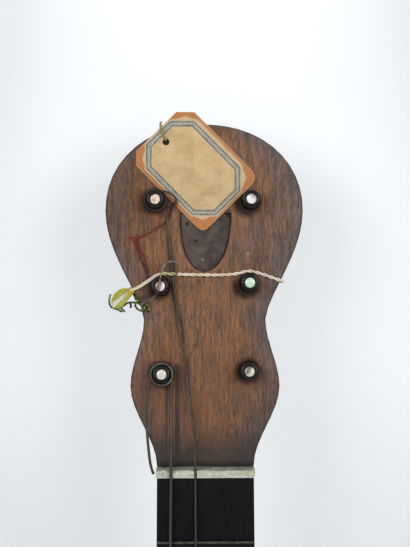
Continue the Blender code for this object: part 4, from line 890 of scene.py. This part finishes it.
margin = margin.mix((0.7, 0.55, 0.38), pale_edge * 0.5)
line = abs(inside - 0.5).rise(0.58, 0.3) + abs(inside - 2.6).rise(0.58, 0.3)
line = line + bead.rise(0.24, 0.36) * abs(inside - 1.6).rise(1.1, 0.8)
ink = card.mix((0.092, 0.104, 0.104), (0.128, 0.118, 0.14), cloud.rise(0.4, 0.6))
ink = ink.mix((0.2, 0.195, 0.17), fibre.rise(0.5, 0.75) * 0.6)
pale = card.mix((0.58, 0.6, 0.5), (0.44, 0.42, 0.34), fibre.rise(0.4, 0.7))
in_band = inside.rise(-0.2, 0.1) * inside.rise(3.3, 3)
tone = margin.mix(tan, inside.rise(-0.2, 0.2)).mix(pale, in_band * 0.7)
inked = (0.78 + wobble * 0.9).below(0.92).above(0.45)
tone = tone.mix(ink, (line * in_band).below(1) * inked)
# painted shade: the card is painted nearly black round the rim of its hole
off_hole = flat.far((-19.7, -0.9, 0)).rise(1.6, 2)
tone = tone.times((0.08 + off_hole * 0.92) * (0.8 + fibre * 0.4))
tone = tone.mix((0.52, 0.34, 0.19), card.facing(OUTWARD).rise(0.85, 0.45) * 0.5)
card.paint(tone, relief=fibre + cloud, depth=0.07)
softened("label_tag", "card_label", card, 0.18)

# An olive thread is tied through the label's hole and drawn over its edge, down behind it.
# A red one, frayed where it turns, ties the label to the twine lower down.
CARD_FACE = FACE + 1
OVER = FACE + 0.6


def spun(finish, pitch):
    """The twist and the fuzz of a thread, by the length of one turn."""
    twist = (finish.attribute("along") * (math.tau / pitch)).sine()
    return twist, finish.place().noise(0.6)


thread = Finish("olive_thread", roughness=0.8)
twist, fuzz = spun(thread, 0.9)
thread.paint(thread.times((0.33, 0.275, 0.11), 0.6 + twist * 0.2 + fuzz * 0.8),
             relief=twist + fuzz, depth=0.06)
route = head_route([(x, v, CARD_FACE + w) for x, v, w in (
    (-19.8, 167.2, -0.8), (-20.1, 167.9, 0.1), (-20.8, 168.8, 0.5), (-21.7, 170.6, 0.7),
    (-22.3, 172.7, 0.8), (-22.5, 174.6, 0.7), (-22.4, 176.2, 0), (-22.1, 176.6, -0.6))], 0.6)
beside = [point + Vector((0.5 * MM, -0.2 * MM, 0.3 * MM)) for point in route]
make_piece(cord_mesh([route, beside], 0.38, 8), "label_thread", thread)

red = Finish("red_thread", roughness=0.85)
twist, fuzz = spun(red, 1.2)
by_turn = red.head_place().far((-29.5, -FACE, 121)).rise(17.5, 10.5)
hue = red.mix((0.06, 0.028, 0.036), (0.205, 0.027, 0.023), by_turn)
red.paint(hue.times(0.65 + twist * 0.15 + fuzz * 0.7), relief=twist + fuzz, depth=0.06)
plies = [head_route([(x + shift, v + shift * 0.6, OVER + w + lift) for x, v, w in (
    (-15.7, 135.2, 0.2), (-16.5, 132.3, 0.6), (-18.6, 127.2, 0.3), (-19.6, 125.1, 0),
    (-21.7, 123.6, 0), (-26.5, 120.8, 0.2), (-31.5, 118, 0), (-35.2, 116.8, 0),
    (-36.2, 116, 0.3), (-35.2 + lower * 0.6, 112.5, 0.3), (-32.7 + lower, 106, 0),
    (-30.3 + lower * 0.6, 100, 0), (-29.3, 96.2, 0))], 0.8)
    for shift, lift, lower in ((0, 0, 0), (0.4, 0.2, 1.4))]
for frayed in (((-34, 117.2), (-36.8, 117.3), (-39.2, 117.6)),
               ((-34.5, 116.5), (-37.2, 116.8), (-38.8, 117)),
               ((-35.2, 116), (-37.2, 116.4), (-38.4, 116.6))):
    plies.append(head_route([(x, v, OVER + 0.2) for x, v in frayed], 0.8))
make_piece(cord_mesh(plies, 0.42, 8, lambda t: 1 - 0.5 * t ** 8), "red_thread_tied", red)

# A loop of thin steel wire is bent round the middle bass peg, and its tail points down
# towards the head's edge.
steel = Finish("dull_steel", metallic=0.4)
rust = steel.place().noise(2, 3)
steel.paint(steel.mix((0.26, 0.23, 0.195), (0.09, 0.072, 0.058), rust.rise(0.44, 0.6)),
            0.38 + rust * 0.3)
bent = head_route([
    (-17.2, 95.2, 4), (-15.5, 96.6, 5), (-14.1, 98.5, 6.8), (-13.4, 101, 10),
    (-14.1, 103.4, 13.5), (-15.8, 104.5, 15.5), (-18.4, 104.2, 16.4), (-20.5, 102.2, 16.8),
    (-21.7, 99, 16.8), (-22.3, 96.5, 16.5), (-22.7, 94, 16.1), (-22.9, 91.8, 16),
    (-23.4, 89.9, 15.7), (-24.6, 87.9, 13), (-26.5, 85.9, 9), (-28.6, 84.4, 6),
    (-31.2, 83.4, 4), (-33, 83.2, 2.9)], 0.8)
make_piece(cord_mesh([bent], 0.4, 8), "wire_loop", steel)

# Two-ply cotton twine is tied round the head's waist. Its knot sits on the bass edge, with
# a tassel of yellow silk and a curling dark green cord.
TWINE_RADIUS, TWINE_PLY, TWINE_PITCH = 0.88, 0.48, 7.4
BACK = -14                    # the core's back
off = 0.3 + TWINE_RADIUS
front, back = FACE + off, BACK - off
over_string = FACE + STRING_CLEARANCE + 2 * FOURTH_RADIUS + off


def round_edge(side, v, angles):
    """Places of the twine round the head's edge, by angle from the face."""
    slope = (head_half_width(v + 1) - head_half_width(v - 1)) / 2
    places = []
    for degrees in angles:
        out = math.sin(math.radians(degrees)) * off * math.hypot(1, slope)
        up = math.cos(math.radians(degrees)) * off
        level = BACK / 2 if degrees == 90 else (FACE if degrees < 90 else BACK) + up
        places.append((side * (head_half_width(v) + out), v, level))
    return places


def braided(route, radius, pitch, ply, slack=None):
    """Routes of two plies that wind round each other along a cord, less where it is slack."""
    ways = [(b - a).normalized() for a, b in zip(route, route[1:])]
    ways.append(ways[-1])
    side = ways[0].orthogonal().normalized()
    plies = [[], []]
    far = 0
    for i, (point, way) in enumerate(zip(route, ways)):
        if i:
            far += (point - route[i - 1]).length * (slack(point) if slack else 1)
            side = (side - way * side.dot(way)).normalized()
        for k in range(2):
            angle = math.tau * (far / (pitch * MM) + k / 2)
            out = side * math.cos(angle) + way.cross(side) * math.sin(angle)
            plies[k].append(point + out * ((radius - ply) * MM))
    return plies


def slack_on_left(point):
    place = HEAD.inverted() @ point
    return 0.15 if place.x < -22.5 * MM and place.z > 0 else 1


cotton = Finish("cotton_twine", roughness=0.9, specular_ior_level=0.2)
at = cotton.head_place()
x = at.parts()[0]
fuzz = at.noise(0.5, 2, 0.6)
patch = at.noise(6)
hue = cotton.mix((0.96, 0.87, 0.71), (0.82, 0.69, 0.5), patch.rise(0.42, 0.68))
dyed = x.rise(-13.8, -15) * x.rise(-23.2, -21.8)
hue = hue.mix((0.66, 0.66, 0.3), dyed * 0.8)
hue = hue.mix((0.16, 0.17, 0.03), dyed * fuzz.rise(0.5, 0.62) * 0.8)
hue = hue.mix((0.66, 0.6, 0.28), x.rise(-32.5, -35.5) * 0.5)
# painted shade in the crevices between the plies, weaker at the bass end by the knot
crevice_shade = cotton.attribute("from_core").rise(0.62, 0.3) * (0.25 + x.rise(-24.5, -22.5) * 0.75)
hue = hue.mix((0.2, 0.13, 0.06), crevice_shade * 0.85)
cotton.paint(hue.times(0.8 + fuzz * 0.35), relief=fuzz, depth=0.1)
tied = head_route([
    *round_edge(-1, 90.3, (90, 60, 25)), (-33, 92.2, front + 0.3), (-28.6, 95, front + 0.4),
    (-23.2, 98.3, front + 0.8), (-16.7, 98.4, over_string), (-8, 98, front + 0.8),
    (8, 97.8, front), (16.5, 98.4, front), (23, 99.7, front), (30, 98, front),
    *round_edge(1, 94.6, (25, 60, 90, 120, 155)), (30, 98.5, back), (23.5, 100.5, back),
    (0, 100.6, back), (-23.5, 100.4, back), (-30, 96, back),
    *round_edge(-1, 90.3, (155, 120))], 0.6)
knot_x = -head_half_width(90.3) - 1.2
turns = [math.tau * i / 15 for i in range(46)]
knot = [on_head(knot_x + 0.9 * math.cos(a) + 0.3 * math.sin(a * 0.4),
                90.3 + 1.1 * math.sin(a * 0.66), BACK / 2 + 1.2 * math.sin(a)) for a in turns]
routes = braided(tied, TWINE_RADIUS, TWINE_PITCH, TWINE_PLY, slack_on_left)
bm = cord_mesh(routes + braided(knot, 0.7, 4, 0.45), TWINE_PLY, 10)
core = kdtree.KDTree(len(tied))
for i, point in enumerate(tied):
    core.insert(point, i)
core.balance()
layer = bm.verts.layers.float.new("from_core")
for vert in bm.verts:
    vert[layer] = core.find(vert.co)[2] / MM
make_piece(bm, "twine_tied", cotton, ["twine"])

silk = Finish("yellow_silk", roughness=0.5)
at = silk.head_place()
x, _, v = at.parts()
strand = at.noise(0.8)
lime = silk.mix((0.62, 0.53, 0.03), (0.58, 0.62, 0.11), strand.rise(0.36, 0.6))
lime = lime.mix((0.6, 0.4, 0.01), silk.attribute("along").rise(5, 2.5))
in_loop = abs(v - 88.5 - (x + 39.8) * 0.78).rise(2.6, 0.2) * x.rise(-38.5, -42.5)
pale = at.noise((0.7, 3, 0.7), 2, 0.6, 0.5).rise(0.36, 0.58)
lime = lime.mix((0.92, 0.9, 0.8), (in_loop * (0.35 + pale * 0.9)).below(1))
parting = abs(v - 89.8 - (x + 39.8) * 0.62).rise(0.6, 0.2)
lime = lime.mix((0.3, 0.3, 0.03), parting * 0.7)
silk.paint(lime.times(0.66 + strand * 0.55))
# five ways from the knot round the loop, from its top to its underside, and their levels
LOOPS = (((-39.2, 90.9), (-42.8, 90.9), (-46.1, 88.9), (-47.7, 86.2), (-48.2, 83.8)),
         ((-39.5, 89.7), (-42.8, 88.9), (-45.5, 86.8), (-47.3, 84.7), (-47.9, 82.9)),
         ((-39.8, 88.5), (-42.5, 87.1), (-45.2, 85), (-47, 82.9), (-47.3, 81.7)),
         ((-38.9, 87.6), (-41.3, 85.6), (-43.4, 83.5), (-44.9, 82), (-45.5, 81.1)),
         ((-37.9, 87.3), (-39.8, 85.3), (-41.6, 83.2), (-43.1, 81.7), (-44.3, 80.8)))
LOOP_LEVELS = (1, -2, -3.2, -4.2, -5.2)
STRANDS = 27                  # in each of two layers
strands = []
for k in range(2 * STRANDS):
    t = (k % STRANDS) / (STRANDS - 1) * 3.999
    layer = k // STRANDS
    if abs(t - 2.3) < 0.45 and layer:
        continue
    share = t - int(t)
    wave = math.sin(k * 2.4)
    path = [(-36.2, 89.9 - 0.6 * t / 4, FACE + 1.2 - 0.6 * layer)]
    for i, ((ax, av), (bx, bv)) in enumerate(zip(LOOPS[int(t)], LOOPS[int(t) + 1])):
        path.append((ax + (bx - ax) * share + 0.2 * wave * i / 4,
                     av + (bv - av) * share - 0.3 * wave * i / 4,
                     LOOP_LEVELS[i] - 0.9 * layer + 0.4 * wave))
    strands.append(head_route(path, 1))
make_piece(cord_mesh(strands, 0.28, 6, lambda t: 1 - 0.25 * t), "silk_tassel", silk)

green = Finish("dark_green_cord", roughness=0.85)
fuzz = green.place().noise(1)
green.paint(green.mix((0.014, 0.022, 0.008), (0.42, 0.45, 0.16), fuzz.rise(0.48, 0.66)),
            relief=fuzz, depth=0.08)
CURLS = (((-48.8, 88.1, -6), (-49.4, 85.3, -6), (-49.1, 82.6, -6), (-47.6, 81, -6),
          (-45.2, 80.4, -6), (-43.7, 79.4, -6), (-42.6, 79.2, -6)),
         ((-45.5, 80.3, -5), (-43.9, 81.1, -5), (-42.2, 82, -5), (-40.1, 83.5, -5),
          (-38.1, 83.9, -4), (-35.4, 83.8, -2), (-33.3, 83, 1), (-32.1, 82.1, 3.4)),
         ((-35.6, 83.6, -3), (-35.8, 82.2, -3), (-34.8, 80.7, -2), (-33.1, 79.7, 1),
          (-31.4, 79.9, 3.2), (-31.1, 81.1, 3.8), (-32.1, 82.1, 3.8), (-30, 82.4, 3.2),
          (-28.2, 82, 3)),
         ((-36.1, 88.8, -3), (-35.2, 87.2, 0), (-34.8, 86.2, 2.8), (-34.2, 84.6, 3),
          (-33.1, 82.8, 3.4)),
         ((-36.6, 88.4, -2), (-35.6, 86, 1), (-34.8, 84.6, 2.6), (-34.6, 83.8, 2.2)),
         ((-31, 81.1, 3.4), (-29.4, 80.3, 2.9), (-28.2, 79.5, 2.8)),
         ((-32, 80.6, 3.2), (-30.3, 80, 2.8), (-29.6, 79, 2.8)),
         ((-43.1, 80.6, -5), (-42.1, 80, -5), (-41.4, 79, -5)),
         ((-38.4, 83.2, -4), (-38, 82, -4), (-38.4, 81.2, -4)))
routes = []
for curl in CURLS:
    routes += braided(head_route(curl, 0.5), 0.66, 2.6, 0.38)
make_piece(cord_mesh(routes, 0.38, 6), "green_cord", green)

# The guitar is photographed on a pale ground, over a pale floor, under two large soft lamps,
# one at each side, with an even pale light all round.
GROUND = (0, 85, 74)          # its middle, behind the neck's front, under the guitar's back
LAMP_SIZE, LAMP_POWER, LAMP_AWAY = 1.1, 19, 2.2     # in metres and watts
LEAST_LIGHT = 0.35


def stage_plane(name, size, place, turn, finish):
    """A square of the studio, by half its side in metres."""
    bm = bmesh.new()
    bmesh.ops.create_grid(bm, x_segments=1, y_segments=1, size=size)
    bmesh.ops.transform(bm, matrix=Matrix.Translation(Vector(place) * MM) @ turn, verts=bm.verts)
    plane = added(name, as_mesh(bm, name))
    plane.data.materials.append(finish.material)


floor = Finish("pale_floor", roughness=0.9, emission_strength=1)
at = floor.place()
foot = (0, 0, cad_box[0][2] / MM - 2)
bright = 0.22 + at.far(foot).rise(400, 3200) * 0.35
floor.set(base_color=floor.mix((0.78, 0.79, 0.8), (0.76, 0.77, 0.78), at.noise(500)),
          emission_color=floor.times((0.97, 0.985, 1), bright * floor.node("LightPath")))
stage_plane("floor", 20, foot, Matrix.Identity(4), floor)

ground = Finish("pale_ground", roughness=0.95, specular_ior_level=0, emission_strength=1)
x, _, v = ground.head_place().parts()
across = x * MM
# painted pool of light, in colour and glow: the ground is lighter round the head, more on its
# treble side, and falls off sideways, more so higher up, and below the head
edge = across * across * (9 + v.rise(90, 260) * 10) + v.rise(45, -60) * 0.085
out = ground.place().far(GROUND)
tone = 0.81 + ((0.215 + across * 0.2 - edge) * out.rise(260, 180)).above(0)
ground.set(base_color=ground.times((0.695, 0.715, 0.725), tone),
           emission_color=ground.times((0.37, 0.38, 0.388), tone))
# only the camera sees it, only from in front, and it fades out towards its rim
turned_away = ground.node("NewGeometry", output=6)
shown = ground.node("LightPath") * (1 - turned_away) * out.rise(1100, 300)
clear = ground.node("BsdfTransparent")
blend = ground.node("MixShader", sockets={0: shown, 1: clear})
ground.tree.links.new(ground.shader.outputs[0], blend.socket.node.inputs[2])
ground.tree.links.new(blend.socket, ground.tree.nodes["Material Output"].inputs[0])
stage_plane("ground", 1.2, GROUND, Matrix.Rotation(math.pi / 2, 4, "X"), ground)

for side, name in ((-1, "left_lamp"), (1, "right_lamp")):
    lamp = bpy.data.lights.new(name, "AREA")
    lamp.shape, lamp.size, lamp.energy = "SQUARE", LAMP_SIZE, LAMP_POWER
    holder = added(name, lamp)
    way = HEAD.to_3x3() @ Vector((side * 0.5, 0.2, 0.84)).normalized()
    holder.location = on_head(0, 80) + way * LAMP_AWAY
    holder.rotation_euler = way.to_track_quat("Z", "Y").to_euler()

scene.world = bpy.data.worlds.new("studio")
scene.world.use_nodes = True
sky = Finish("studio_sky")
sky.tree = scene.world.node_tree
seen, glossy, singular = (sky.node("LightPath", output=i) for i in (0, 3, 4))
towards = sky.node("TexCoord").parts()[1]
glossy = glossy * (0.25 + towards.rise(-0.9, 0.4) * 0.55)
background = sky.tree.nodes["Background"]
background.inputs[0].default_value = (0.97, 0.985, 1, 1)
sky.feed(background.inputs[1], (seen * 0.86 + glossy + singular * 0.86).above(LEAST_LIGHT))
bpy.data.materials.remove(sky.material)

scene.view_settings.view_transform = "Standard"
